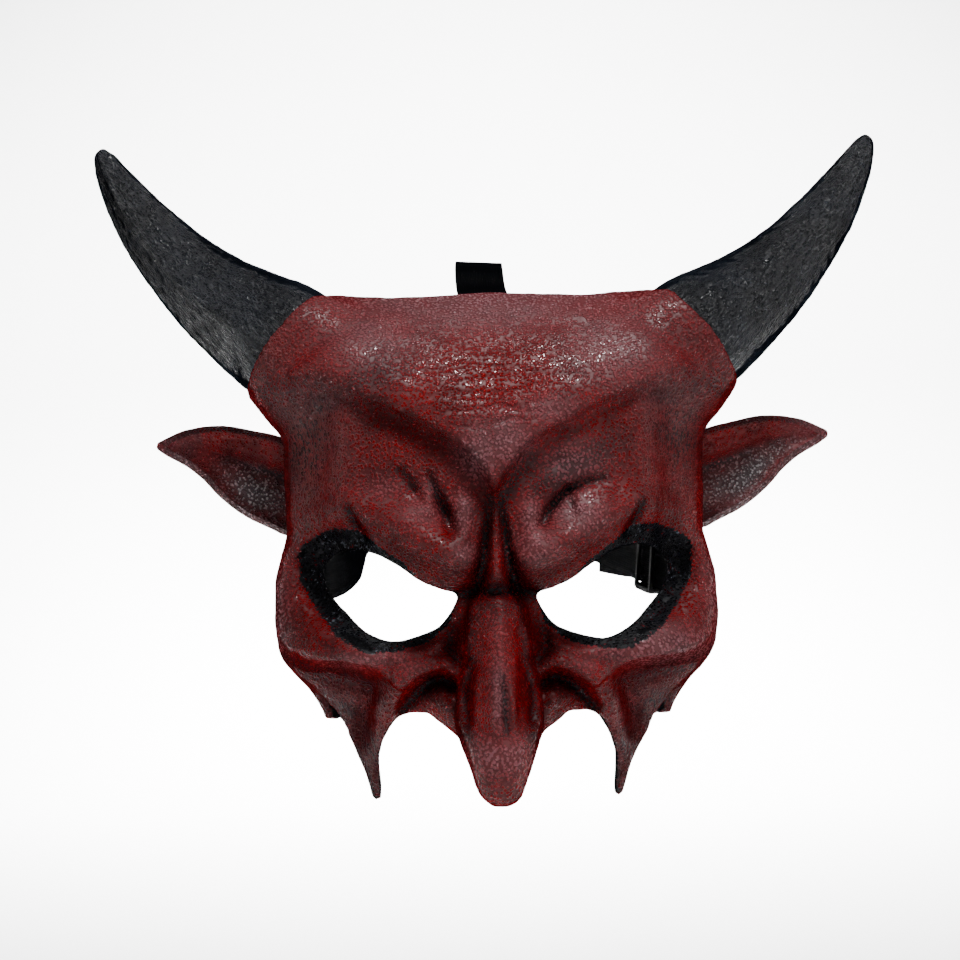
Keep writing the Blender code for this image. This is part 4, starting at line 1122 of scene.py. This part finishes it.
# %% [markdown]
# ## Horns
# Each horn is a separate casting, painted blue-black and lacquered. Its foot fills the sleeve's
# socket, and the free part curves up to a blunt tip. It is a loft of rings along a curve. Each
# ring has a flat-sided front with a soft keel, the skin is scored along the horn, and the grain of
# the mould shows as gouges and glints.

# %% Loft the horns
HORN_STATIONS = [
    # x, y, z, diameter of the free horn, from just outside the sleeve to the tip
    (86.5, 21.8, 90.2, 48), (96.5, 24, 96.6, 43.6), (111, 27, 107, 37.2), (126.5, 29.5, 121.5, 30),
    (140, 30.5, 137.5, 23.6), (150.5, 30, 153.5, 15.6), (155.5, 29, 163.5, 9.2),
    (157, 28.6, 167.2, 4.6), (157.4, 28.5, 168, 1.6),
]
HORN_LEAN_IN = {-1: 0.0, 1: 2.4}
HORN_SIDES, HORN_RINGS = 96, 190
KEEL_AT, FACET_TURN, FACET_RADIUS = math.radians(-76.0), 0.62, 0.93
STROKE_AXIS, STROKE_STRETCH = (0.64, 0.10, 0.76), (0.75, 0.75, 0.75)


def horn_section(angle):
    """Radius of the section round the horn: round behind, with two facets that meet at the keel."""
    away = np.abs(np.angle(np.exp(1j * (angle - KEEL_AT))))
    facet = FACET_RADIUS / np.cos(np.sqrt(away**2 + 0.05**2) - FACET_TURN)
    return np.where(away < FACET_TURN + math.acos(FACET_RADIUS), facet, 1.0)


def scored(points, axis_share, angle):
    """Gouges that run along the horn, and the swelling of a hand-made form."""
    out = np.empty(len(points))
    for i, (x, y, z) in enumerate(points):
        long_way = noise.noise((angle[i] * 5.0, axis_share * 9.0, x * 0.004))
        cross_way = noise.noise((x / 3.2, y / 3.2, z / 3.2))
        out[i] = 0.28 * long_way + 0.22 * cross_way
    return out


def build_horn(side, material):
    axis, across, depth = sleeve_frame(side)
    rim = SLEEVE_RIM * [side, 1, 1]
    foot = SOCKET_RADIUS - GAP
    angle = np.arange(HORN_SIDES) * 2 * math.pi / HORN_SIDES
    rings = [ring_about(rim + axis * along, across, depth, foot, foot, HORN_SIDES)
             for along in (GAP - SOCKET_DEPTH, -4.0, -0.5)]
    stations = np.array([(side * x, y, z, d) for x, y, z, d in HORN_STATIONS])
    share = (np.abs(stations[:, 0]) - SLEEVE_RIM[0]) / (HORN_STATIONS[-1][0] - SLEEVE_RIM[0])
    stations[:, 0] -= side * HORN_LEAN_IN[side] * share
    line = resample(through_points(np.vstack([np.append(rim, 2 * foot), stations]), 12), HORN_RINGS)
    lean = np.gradient(line[:, :3], axis=0)
    for i in range(1, HORN_RINGS):
        centre, radius = line[i, :3], line[i, 3] / 2
        ahead = lean[i] / np.linalg.norm(lean[i])
        sideways = across - ahead * across.dot(ahead)
        sideways /= np.linalg.norm(sideways)
        out = np.outer(np.cos(angle), sideways) + np.outer(np.sin(angle), np.cross(ahead, sideways))
        shaped = 1.0 + (horn_section(angle * side) - 1.0) * smooth_ramp(i, 0.0, 24.0)
        ring = centre + out * (radius * shaped)[:, None]
        bite = scored(ring, i / HORN_RINGS, angle) * smooth_ramp(i, 1.0, 8.0)
        rings.append(ring + out * (bite * min(1.0, radius / 4.0))[:, None])
    name = "horn_casting_right" if side > 0 else "horn_casting_left"
    return loft(name, rings, material)


HORN_DARK = (0.0026, 0.0034, 0.0055, 1.0)
HORN_BLUE = (0.0075, 0.0095, 0.0145, 1.0)
HORN_WORN = (0.060, 0.068, 0.082, 1.0)


def horn_material():
    material, graph, shader = new_material("lacquered_horn")
    place, grain = place_grain(graph, HORN_PEBBLE, 0.5)
    mirrored = graph.vector("ABSOLUTE", place)
    along = graph.vector("PROJECT", mirrored, STROKE_AXIS)
    shortened = graph.vector("MULTIPLY", along, STROKE_STRETCH)
    drawn_out = graph.vector("SUBTRACT", mirrored, shortened)
    strokes = graph.ramp(graph.noise(drawn_out, 800.0, 3.0, 0.6, 0.6), 0.36, 0.64)
    skin = graph.blend(0.6, grain["Height"], strokes)
    tone = graph.ramp(graph.noise(place, 45.0, 3.0), 0.35, 0.65)
    blue_black = graph.mix(tone, HORN_DARK, HORN_BLUE)
    patchy = graph.ramp(graph.noise(place, 300.0, 2.0), 0.5, 0.7, 0.0, 0.30)
    worn = graph.math("MULTIPLY", grain["Tops"], patchy)
    blue_black = graph.mix(worn, blue_black, HORN_WORN)
    graph.wire(blue_black, shader.inputs["Base Color"])
    graph.wire(graph.ramp(skin, 0.25, 0.75, 0.42, 0.22), shader.inputs["Roughness"])
    add_bump(graph, shader, skin, 1.0, GRAIN_DEPTH)
    dull_edges(graph, shader, 0.48, 0.60)
    return material


lacquered_horn = horn_material()
for side, node in ((-1, "horn_left"), (1, "horn_right")):
    horn = build_horn(side, lacquered_horn)
    hand_in(horn, node, "mask")
    print(horn.name, len(horn.data.vertices), "points")

# %% [markdown]
# ## Ears
# The ears are cupped leaves with a rolled rim, glued to the sides of the face behind the temples.
# A grid from root to tip gives the leaf; its middle is pushed back to make the cup, a fold runs
# along the upper inside, and Solidify gives it thickness. The foot is cut to the curve of the
# face, with the working model's small gap.

# %% Shape the ears
EAR_UPPER = [
    (74, 45), (84, 48.6), (91.6, 50.4), (101.2, 52.4), (108, 52.7), (114.7, 51.9), (120.5, 50.3),
    (128.3, 46.3),
]
EAR_LOWER = [
    (74, 12.6), (80.1, 12), (86.5, 15), (94.2, 18.8), (100.5, 23.2), (105.8, 28.1), (110.8, 33.8),
    (117.2, 39.1), (124.5, 43.4), (128.3, 46.3),
]
EAR_ROOT_Y, EAR_TIP_Y, EAR_CUP, EAR_WALL, RIM_ROUND = 20.0, 37.0, 9.0, 3.2, 1.0
EAR_ALONG, EAR_ACROSS = 110, 64


EAR_FOLDS = (
    # depth; middle, drop and width across the leaf; share of the length where it ends, fade
    (-2.4, 0.80, 0.05, 0.09, 0.85, 0.5),
    (2.2, 0.62, 0.0, 0.12, 0.9, 0.6),
    (-1.8, 0.30, 0.0, 0.16, 0.7, 0.4),
)


def ear_depth(share, v):
    """How far the leaf lies back at a share of its length and of its width (0 low, 1 high)."""
    bowl = EAR_CUP * (1.0 - np.abs(2.0 * v - 1.0) ** 2.6) * (1.0 - share) ** 0.55
    depth = EAR_ROOT_Y + (EAR_TIP_Y - EAR_ROOT_Y) * share + bowl
    for deep, middle, drop, wide, end, fade in EAR_FOLDS:
        across = np.exp(-(((v - middle + drop * share) / wide) ** 2))
        depth = depth + deep * across * smooth_ramp(end - share, 0.0, fade)
    return depth


def build_ear(side, material):
    upper = resample(through_points(EAR_UPPER), EAR_ALONG)
    lower = resample(through_points(EAR_LOWER), EAR_ALONG)
    share = np.linspace(0.0, 1.0, EAR_ALONG)[:, None]
    v = np.linspace(0.0, 1.0, EAR_ACROSS)[None, :]
    narrow = 0.5 + (v - 0.5) * np.where(share < 0.995, 1.0, 0.25)
    x = lower[:, :1] + (upper[:, :1] - lower[:, :1]) * narrow
    z = lower[:, 1:] + (upper[:, 1:] - lower[:, 1:]) * narrow
    points = from_drawing(x, z, ear_depth(share, v)).reshape(-1, 3)
    # The fold of the ear gets the wash; its root, where it meets the face, gets painted shade, and
    # its edges are darker too.
    wash_and_shade = (0.8 * np.exp(-(((v - 0.60) / 0.10) ** 2)) * smooth_ramp(0.75 - share, 0.0, 0.5)
            + 0.8 * smooth_ramp(0.12 - share, 0.0, 0.12) * smooth_ramp(v, 0.1, 0.3)
            + 0.5 * smooth_ramp(np.abs(2 * v - 1), 0.93, 1.0))
    belly_at, belly_long = (0.42, 0.32) if side > 0 else (0.30, 0.22)
    grey_belly = np.exp(-(((v - 0.30) / 0.24) ** 2) - ((share - belly_at) / belly_long) ** 2)
    # Pale pink on the tip and the lower edge of the ear: dry brush and painted highlight.
    drybrush_and_highlight = 0.55 * smooth_ramp(share, 0.55, 0.95) + 0.35 * smooth_ramp(0.14 - v, 0.0, 0.1)
    index = np.arange(EAR_ALONG * EAR_ACROSS).reshape(EAR_ALONG, EAR_ACROSS)
    corners = [index[:-1, :-1], index[1:, :-1], index[1:, 1:], index[:-1, 1:]]
    faces = np.stack(corners, axis=-1).reshape(-1, 4).tolist()
    name = "ear_leaf_right" if side > 0 else "ear_leaf_left"
    points[:, 1] += 0.22 * lumps(points, 5.0, 3.0) + 0.1 * lumps(points, 2.4, 5.0)
    ear = mesh_object(name, points * [side, 1, 1], faces, material)
    for label, values in (("wash_and_shade", wash_and_shade), ("drybrush_and_highlight", drybrush_and_highlight), ("belly", grey_belly)):
        store_mask(ear.data, label, np.clip(values, 0, 1))
    if side < 0:
        ear.data.flip_normals()
    wall = ear.modifiers.new("wall", "SOLIDIFY")
    wall.thickness, wall.offset, wall.use_even_offset = EAR_WALL * MM, 0.0, True
    bake_modifiers(ear)
    face_outwards(ear.data)
    rim = ear.modifiers.new("rolled_rim", "BEVEL")
    rim.width, rim.segments = RIM_ROUND * MM, 3
    rim.limit_method, rim.angle_limit = "ANGLE", math.radians(50)
    bake_modifiers(ear)
    clearance = block("clearance", -GAP, REAR_RIM_Y + 1.0, relief, None, (FACE_FOOT, FACE_TOP), 2.4)
    carve(ear, clearance, "DIFFERENCE")
    give_material(ear, material)
    ear.data.shade_smooth()
    return ear


BELLY_DARK, BELLY_PALE = (0.10, 0.08, 0.085, 1.0), (0.62, 0.56, 0.58, 1.0)


def ear_material():
    material, graph, shader = new_material("painted_ear")
    mask = {name: graph.node("ShaderNodeAttribute", attribute_name=name).outputs["Fac"]
            for name in ("wash_and_shade", "drybrush_and_highlight", "belly")}
    place, grain = place_grain(graph, PEBBLE)
    height = grain["Height"]
    red = graph.mix(graph.ramp(graph.noise(place, 90.0, 3.0), 0.35, 0.65), RED_DARK, RED_BRIGHT)
    # The pits of the grain are painted darker.
    red = graph.mix(graph.math("MULTIPLY", grain["Pits"], 0.55), red, RED_DARK)
    # Pale pink: dry brush and painted highlight.
    coat = graph.mix(graph.math("MULTIPLY", mask["drybrush_and_highlight"], graph.ramp(height, 0.42, 0.62, 0.3, 1.0)),
                     red, PALE_PINK)
    # Black wash, and painted shade at the root of the ear.
    coat = graph.mix(graph.math("MULTIPLY", mask["wash_and_shade"], graph.ramp(height, 0.44, 0.66, 1.0, 0.5)),
                     coat, WASH_AND_SHADE_BLACK)
    belly = graph.mix(graph.ramp(height, 0.42, 0.58), BELLY_DARK, BELLY_PALE)
    coat = graph.mix(graph.math("MULTIPLY", mask["belly"], 0.9), coat, belly)
    graph.wire(coat, shader.inputs["Base Color"])
    graph.wire(graph.ramp(height, 0.20, 0.85, 0.50, 0.26), shader.inputs["Roughness"])
    add_bump(graph, shader, height, 1.0, GRAIN_DEPTH)
    dull_edges(graph, shader, 0.5, 0.70)
    return material


painted_ear = ear_material()
for side, node in ((-1, "ear_left"), (1, "ear_right")):
    ear = build_ear(side, painted_ear)
    hand_in(ear, node, "mask")
    print(ear.name, len(ear.data.vertices), "points")

# %% [markdown]
# ## Harness
# Three lengths of ribbed elastic hold the mask on: one from inside each temple, and one from
# inside the forehead over the crown. They meet between two stitched patches behind the head. Each
# strap is a loft of one ribbed section along the working model's route.

# %% Ribbed straps
STRAP_WIDTH, STRAP_THICK = 20.0, 1.5
RIB_COUNT, RIB_DEPTH, SELVEDGE = 17, 0.16, 1.4
STRAP_STEP = 1.4
LEFT_ROUTE = [
    (79.15, 19, -10), (77.11, 34.3, -10), (76.09, 42, -10), (74, 56, -9.8), (69, 70, -9.2),
    (65, 82, -7.2), (62, 95, -3.6), (61, 106, 1.6), (60, 116, 7), (55.5, 128, 12.5),
    (46, 139.5, 17), (35, 147.5, 20.5), (25, 151.6, 21.9), (18, 152, 22), (9, 152, 22),
    (1, 152, 22),
]
RUN_START, RUN_END = np.array([75.2, 50.0, -9.2]), np.array([45.0, 122.0, 3.0])
RIGHT_FRONT = [(79.15, 19.0, -10.0), (77.11, 34.3, -10.0), (76.09, 42.0, -10.0)]
RIGHT_BACK = [
    (38, 134.5, 6.5), (31, 143.5, 11.5), (25, 149.4, 16.8), (19.5, 151.9, 20.6), (9, 152, 22),
    (1, 152, 22),
]
TOP_ROUTE = [
    (0, -9.17, 74), (0, -3.73, 82), (0, 2.56, 90), (-1.2, 9.92, 98), (-3.6, 29, 109),
    (-4.2, 43, 118.5), (-4.2, 60, 124), (-3.8, 80, 125), (-3, 100, 119.5), (-1.8, 118, 106.5),
    (-0.8, 133, 88), (-0.3, 145, 67), (0, 151.5, 51), (0, 152, 43), (0, 152, 33),
]
TOP_LEAN = 0.07


def strap_section(width, thick):
    """Half of a ribbed section: places across the strap and the half thickness at each."""
    across = np.linspace(-width / 2, width / 2, 4 * RIB_COUNT + 9)
    ribbed = width / 2 - SELVEDGE
    wave = 0.5 - 0.5 * np.cos((across + ribbed) / (2 * ribbed) * RIB_COUNT * 2 * math.pi)
    half = thick / 2 - RIB_DEPTH * np.where(np.abs(across) < ribbed, 1.0 - wave, 0.35)
    half[[0, -1]] = thick * 0.22
    return across, half


def strap_along(name, line, faces, width, thick, material):
    """A ribbed strap along a line; faces are the directions that its flat side looks in."""
    ahead = np.gradient(line, axis=0)
    ahead /= np.linalg.norm(ahead, axis=1)[:, None]
    side = np.cross(ahead, faces)
    side /= np.linalg.norm(side, axis=1)[:, None]
    out = np.cross(side, ahead)
    across, half = strap_section(width, thick)
    around = np.concatenate([across, across[::-1]])
    raised = np.concatenate([half, -half[::-1]])
    rings = (line[:, None, :] + side[:, None, :] * around[None, :, None]
             + out[:, None, :] * raised[None, :, None])
    strap = loft(name, rings, material)
    run = np.concatenate([[0.0], np.cumsum(np.linalg.norm(np.diff(line, axis=0), axis=1))])
    store_mask(strap.data, "run", np.repeat(run, len(around)))
    return strap, run[-1]


def level_faces(line):
    """Level directions that look away from the head, square to each stretch of a side strap."""
    ahead = np.gradient(line, axis=0) * [1, 1, 0]
    return np.cross(ahead, [0.0, 0.0, 1.0])


def evenly(points):
    curve = through_points(points, 12)
    length = np.linalg.norm(np.diff(curve, axis=0), axis=1).sum()
    return resample(curve, int(length / STRAP_STEP))


ELASTIC_DARK, ELASTIC_LIGHT = (0.0008, 0.0009, 0.0012, 1.0), (0.0036, 0.004, 0.0052, 1.0)
WEFT_PITCH = 0.8


def elastic_material():
    material, graph, shader = new_material("ribbed_elastic")
    place = graph.node("ShaderNodeTexCoord").outputs["Object"]
    run = graph.node("ShaderNodeAttribute", attribute_name="run").outputs["Fac"]
    weft = graph.math("SINE", graph.math("MULTIPLY", run, 2 * math.pi / WEFT_PITCH))
    fuzz = graph.noise(place, 3200.0, 2.0, 0.7)
    thread = graph.math("ADD", graph.math("MULTIPLY", weft, 0.25), fuzz)
    shade = graph.ramp(thread, 0.2, 0.9)
    graph.wire(graph.mix(shade, ELASTIC_DARK, ELASTIC_LIGHT), shader.inputs["Base Color"])
    shader.inputs["Roughness"].default_value = 0.8
    dull_edges(graph, shader, 0.1)
    add_bump(graph, shader, thread, 0.5, 0.0002)
    return material


def build_straps(material):
    left = evenly(LEFT_ROUTE) * [-1, 1, 1]
    along = RUN_END - RUN_START
    lead_in = [tuple(RUN_START), tuple(RUN_START + along * 0.06)]
    lead_out = [tuple(RUN_END - along * 0.1), tuple(RUN_END)]
    front = through_points(RIGHT_FRONT + lead_in, 8)[:-8]
    back = through_points(lead_out + RIGHT_BACK, 12)[12:]
    straight = RUN_START + np.linspace(0.0, 1.0, 56)[:, None] * along
    right = np.vstack([resample(front, 24)[:-1], straight, resample(back, 48)[1:]])
    top = evenly(TOP_ROUTE)
    lean = np.clip(np.sin(np.linspace(0.0, math.pi, len(top))) * 1.5 - 0.6, 0.0, 1.0) * TOP_LEAN
    crown = np.cross([1.0, 0.0, 0.0], np.gradient(top, axis=0))
    crown = crown / np.linalg.norm(crown, axis=1)[:, None] + np.outer(lean, [1.0, 0.0, 0.0])
    for node, line, faces, rests in (
            ("side_strap_left", left, level_faces(left), ["face_shell", "rear_patch_inner"]),
            ("side_strap_right", right, level_faces(right), ["face_shell", "rear_patch_inner"]),
            ("top_strap", top, crown, ["face_shell", "rear_patch_inner"])):
        strap, length = strap_along(node + "_elastic", line, faces,
                                    STRAP_WIDTH, STRAP_THICK, material)
        hand_in(strap, node, "mask")
        print(strap.name, "length", round(length, 1), "mm")


ribbed_elastic = elastic_material()
build_straps(ribbed_elastic)

# %% [markdown]
# ### The size adjuster
# A tri-glide sits on the straight stretch of the right strap. The strap's end comes round its
# middle bar, is sewn back on itself and hangs loose over the strap. Slider and tail ride together.

# %% Slider and tail
SLIDER_AT = 20.0
TAIL_LENGTH, TAIL_DROOP, TAIL_THICK = 48.0, 5.0, 1.2
RAIL_UP = STRAP_WIDTH / 2 + 1.7
SLIDER_LONG, RAIL_HIGH, CROSS_WIDE, CROSS_DEEP, CROSS_AT = 14.0, 2.4, 2.2, 1.8, 5.9
BAR_WIDE, BAR_HALF = 2.4, 1.1
BAR_OUT = STRAP_THICK / 2 + GAP + TAIL_THICK + GAP + BAR_HALF


def run_frame():
    """Place on the straight run: along it, square out of its flat side, and up its width."""
    ahead = (RUN_END - RUN_START) / np.linalg.norm(RUN_END - RUN_START)
    level = np.cross(ahead * [1, 1, 0], [0.0, 0.0, 1.0])
    upward = np.cross(level, ahead)
    upward /= np.linalg.norm(upward)
    return RUN_START + ahead * SLIDER_AT, ahead, np.cross(ahead, upward), upward


BAR_ENDS = ((-1.0, 0.86), (-0.97, 0.97), (-0.93, 1.0), (0.93, 1.0), (0.97, 0.97), (1.0, 0.86))


def slider_bar(name, middle, size, soft=0.55):
    """A bar of the slider with rounded long edges: middle and size along, out and up."""
    home, ahead, outward, upward = run_frame()
    (a, o, u), (long, deep, high) = middle, np.array(size) / 2
    turn = np.arange(24) * 2 * math.pi / 24
    rounded = np.stack([np.sign(np.cos(turn)) * np.abs(np.cos(turn)) ** soft * long,
                        np.sign(np.sin(turn)) * np.abs(np.sin(turn)) ** soft * deep], axis=1)
    rings = []
    for level, shrink in BAR_ENDS:
        ring = rounded * shrink
        rings.append(home + np.outer(a + ring[:, 0], ahead) + np.outer(o + ring[:, 1], outward)
                     + (u + level * high) * upward)
    return loft(name, rings)


PLASTIC_DARK, PLASTIC_LIGHT = (0.0012, 0.0012, 0.0014, 1.0), (0.003, 0.003, 0.0034, 1.0)


def slider_material():
    material, graph, shader = new_material("black_slider_plastic")
    place = graph.node("ShaderNodeTexCoord").outputs["Object"]
    moulded = graph.noise(place, 1500.0, 2.0, 0.5)
    graph.wire(graph.mix(moulded, PLASTIC_DARK, PLASTIC_LIGHT), shader.inputs["Base Color"])
    graph.wire(graph.ramp(moulded, 0.3, 0.7, 0.34, 0.46), shader.inputs["Roughness"])
    dull_edges(graph, shader, 0.2)
    add_bump(graph, shader, moulded, 0.25, 0.0002)
    return material


def build_slider(material):
    inner_face = -STRAP_THICK / 2 - GAP - CROSS_DEEP
    deep, middle = BAR_OUT + BAR_HALF - inner_face, (BAR_OUT + BAR_HALF + inner_face) / 2
    rail, reach = (SLIDER_LONG, deep, RAIL_HIGH), 2 * RAIL_UP + 1.0
    slider = slider_bar("slider_triglide", (0.0, middle, RAIL_UP), rail, 0.35)
    others = [((0.0, middle, -RAIL_UP), rail, 0.35)]
    others += [((at, inner_face + CROSS_DEEP / 2, 0.0), (CROSS_WIDE, CROSS_DEEP, reach), 0.55)
               for at in (-CROSS_AT, CROSS_AT)]
    others.append(((0.0, BAR_OUT, 0.0), (BAR_WIDE, 2 * BAR_HALF, reach), 0.7))
    for number, (place, size, soft) in enumerate(others):
        carve(slider, slider_bar(f"bar_{number}", place, size, soft), "UNION")
    give_material(slider, material)
    return slider


def build_tail(material):
    home, ahead, outward, upward = run_frame()
    low = STRAP_THICK / 2 + GAP + TAIL_THICK / 2
    high = BAR_OUT + BAR_HALF + GAP + TAIL_THICK / 2
    turn = -(BAR_WIDE / 2 + GAP + TAIL_THICK / 2 + 0.2)
    route = [
        (TAIL_LENGTH, low, -TAIL_DROOP), (TAIL_LENGTH * 0.75, low, -TAIL_DROOP * 0.72),
        (TAIL_LENGTH * 0.5, low, -TAIL_DROOP * 0.42), (12.0, low, 0.0), (2.0, low, 0.0),
        (turn + 0.8, low, 0.0), (turn, low + 0.9, 0.0), (turn, high - 0.9, 0.0),
        (turn + 0.8, high, 0.0), (1.6, high, 0.0), (5.0, high - 1.2, 0.0),
        (8.5, low + TAIL_THICK + GAP, 0.0), (15.0, low + TAIL_THICK + GAP, 0.0),
    ]
    line = resample(np.array(route), 110)
    heading = np.gradient(line[:, :2], axis=0)
    faces = np.outer(-heading[:, 1], ahead) + np.outer(heading[:, 0], outward)
    centres = home + line[:, :1] * ahead + line[:, 1:2] * outward + line[:, 2:] * upward
    return strap_along("strap_tail_elastic", centres, faces, STRAP_WIDTH - 0.6, TAIL_THICK, material)


triglide = build_slider(slider_material())
hand_in(triglide, "strap_slider", "adjuster")
tail, tail_run = build_tail(ribbed_elastic)
hand_in(tail, "strap_tail", "adjuster")
print("tail length", round(tail_run, 1), "mm")

# %% [markdown]
# ### Patches
# A cloth patch covers each strap end inside the mask, and two sewn patches close the junction
# behind the head.

# %% Cloth patches and stitching
PATCH_THICK, PATCH_LONG, PATCH_WIDE = 1.0, 22.0, 32.0
REAR_WIDE, REAR_HIGH, REAR_CORNER = 30.0, 42.0, 4.0
JUNCTION = np.array([0.0, 152.0, 22.0])
STITCH_PITCH, STITCH_LONG, STITCH_INSET = 2.6, 1.8, 2.6
STITCH_PROFILE = ((-0.5, 0.12), (-0.3, 0.3), (0.0, 0.34), (0.3, 0.3), (0.5, 0.12))
PATCH_PROFILE = ((-0.5, 0.5), (-0.3, 0.1), (0.0, 0.0), (0.3, 0.1), (0.5, 0.5))
TEMPLE_WALL, TEMPLE_STRAP, TEMPLE_TURN, TEMPLE_LEAN = 80.88, 77.62, 0.133, 0.178
FOREHEAD_WALL = ((73.0, 82.0, 90.0, 95.0), (-11.4, -5.38, 0.91, 5.4))


FELT_DARK, FELT_LIGHT = (0.006, 0.006, 0.007, 1.0), (0.030, 0.030, 0.032, 1.0)


def cloth_material():
    material, graph, shader = new_material("black_patch_cloth")
    place = graph.node("ShaderNodeTexCoord").outputs["Object"]
    felt = graph.noise(place, 1800.0, 4.0, 0.7)
    graph.wire(graph.mix(felt, FELT_DARK, FELT_LIGHT), shader.inputs["Base Color"])
    shader.inputs["Roughness"].default_value = 0.92
    shader.inputs["Specular IOR Level"].default_value = 0.1
    add_bump(graph, shader, felt, 0.6, 0.0004)
    return material


def patch_outline(wide, high, corner):
    """A rectangle with round corners, as a closed line about its middle."""
    bend = np.linspace(0.0, math.pi / 2, 7)
    spots = ((1, 1, 0.0), (-1, 1, 0.5), (-1, -1, 1.0), (1, -1, 1.5))
    return np.array([
        (sx * (wide / 2 - corner) + corner * math.cos(a + quarter * math.pi),
         sz * (high / 2 - corner) + corner * math.sin(a + quarter * math.pi))
        for sx, sz, quarter in spots for a in bend])


def stitches(name, outline, y, material):
    """Sewn thread: short raised stitches along a closed line, joined as one piece."""
    closed = np.vstack([outline, outline[:1]])
    length = np.linalg.norm(np.diff(closed, axis=0), axis=1).sum()
    line = resample(closed, int(length / STITCH_PITCH) + 1)
    turn = np.arange(6) * 2 * math.pi / 6
    points, faces = [], []
    for a, b in zip(line[:-1], line[1:]):
        middle, ahead = (a + b) / 2, (b - a) / np.linalg.norm(b - a)
        side = np.array([-ahead[1], ahead[0]])
        start = len(points)
        for at, radius in STITCH_PROFILE:
            for t in turn:
                x, z = middle + ahead * at * STITCH_LONG + side * radius * math.cos(t)
                points.append((x, y + radius * 0.5 * math.sin(t), z))
        for ring in range(4):
            for k in range(6):
                low, up = start + ring * 6, start + (ring + 1) * 6
                faces.append((low + k, low + (k + 1) % 6, up + (k + 1) % 6, up + k))
        faces.append(tuple(start + k for k in range(6))[::-1])
        faces.append(tuple(start + 24 + k for k in range(6)))
    return mesh_object(name, np.array(points), faces, material)


def build_rear_patches(cloth, thread):
    reach = STRAP_THICK / 2 + GAP + PATCH_THICK / 2
    for node, side in (("rear_patch_inner", -1), ("rear_patch_outer", 1)):
        middle = JUNCTION + [0.0, side * reach, 5.0]
        rings = []
        for along, inset in PATCH_PROFILE:
            outline = patch_outline(REAR_WIDE - 2 * inset, REAR_HIGH - 2 * inset, REAR_CORNER)
            rings.append(np.column_stack([outline[:, 0], np.full(len(outline), along * PATCH_THICK),
                                          outline[:, 1]]) + middle)
        patch = loft(node + "_cloth", rings, cloth)
        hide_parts(node)
        outline = patch_outline(REAR_WIDE - 2 * STITCH_INSET, REAR_HIGH - 2 * STITCH_INSET, 3.0)
        seam = stitches(node + "_seam", outline + middle[[0, 2]],
                        middle[1] + side * (PATCH_THICK / 2 - 0.02), thread)
        for piece in (patch, seam):
            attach(piece, "mask")


def draped_patch(node, place, material):
    """A glued patch that lies on the wall and steps up over the strap end under it."""
    across = np.linspace(-0.5, 0.5, 66)
    along = np.linspace(-0.5, 0.5, 46)
    u, v = np.meshgrid(along, across, indexing="ij")
    corner = np.maximum(np.abs(u) * 2, np.abs(v) * 2) ** 12
    pull = 1.0 - 0.03 * corner * (np.abs(u) * 2) * (np.abs(v) * 2)
    raised = smooth_ramp(np.abs(v) * PATCH_WIDE, 14.0, 11.0)
    points = place(u * PATCH_LONG * pull, v * PATCH_WIDE * pull, raised)
    index = np.arange(u.size).reshape(u.shape)
    quads = np.stack([index[:-1, :-1], index[1:, :-1], index[1:, 1:], index[:-1, 1:]], axis=-1)
    quads = quads.reshape(-1, 4).tolist()
    patch = mesh_object(node + "_cloth", points.reshape(-1, 3), quads, material)
    wall = patch.modifiers.new("cloth", "SOLIDIFY")
    wall.thickness, wall.offset = PATCH_THICK * MM, 0.0
    bake_modifiers(patch)
    face_outwards(patch.data)
    patch.data.shade_smooth()
    give_material(patch, material)
    hand_in(patch, node, "mask")


def build_anchor_patches(material):
    over_strap = STRAP_THICK / 2 + GAP + PATCH_THICK / 2 + 0.1
    on_wall = GAP + PATCH_THICK / 2 + 0.2

    def on_side(side):
        def place(along, across, raised):
            y, z = 30.5 + along, -10.0 + across
            lean = TEMPLE_LEAN * np.maximum(across, 0.0)
            wall = TEMPLE_WALL - TEMPLE_TURN * along - lean - on_wall
            strap = TEMPLE_STRAP - TEMPLE_TURN * along - over_strap
            return np.stack([side * (wall + (strap - wall) * raised), y, z], axis=-1)
        return place

    def on_forehead(along, across, raised):
        z = 84.0 + along
        wall = np.interp(z, *FOREHEAD_WALL) + on_wall + 0.6
        lift = (1.65 + over_strap + 0.3 - on_wall - 0.6) * raised
        return np.stack([across, wall + lift, z], axis=-1)

    draped_patch("anchor_patch_left", on_side(-1), material)
    draped_patch("anchor_patch_right", on_side(1), material)
    draped_patch("anchor_patch_top", on_forehead, material)


patch_cloth = cloth_material()
build_rear_patches(patch_cloth, ribbed_elastic)
build_anchor_patches(patch_cloth)
print("patches sewn and glued")

# %% Sizes of the working model and of the looks
visual_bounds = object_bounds()
for label, (low, high) in (("cad", cad_bounds), ("visual", visual_bounds)):
    print(label, "size", [round((b - a) / MM, 1) for a, b in zip(low, high)], "mm")
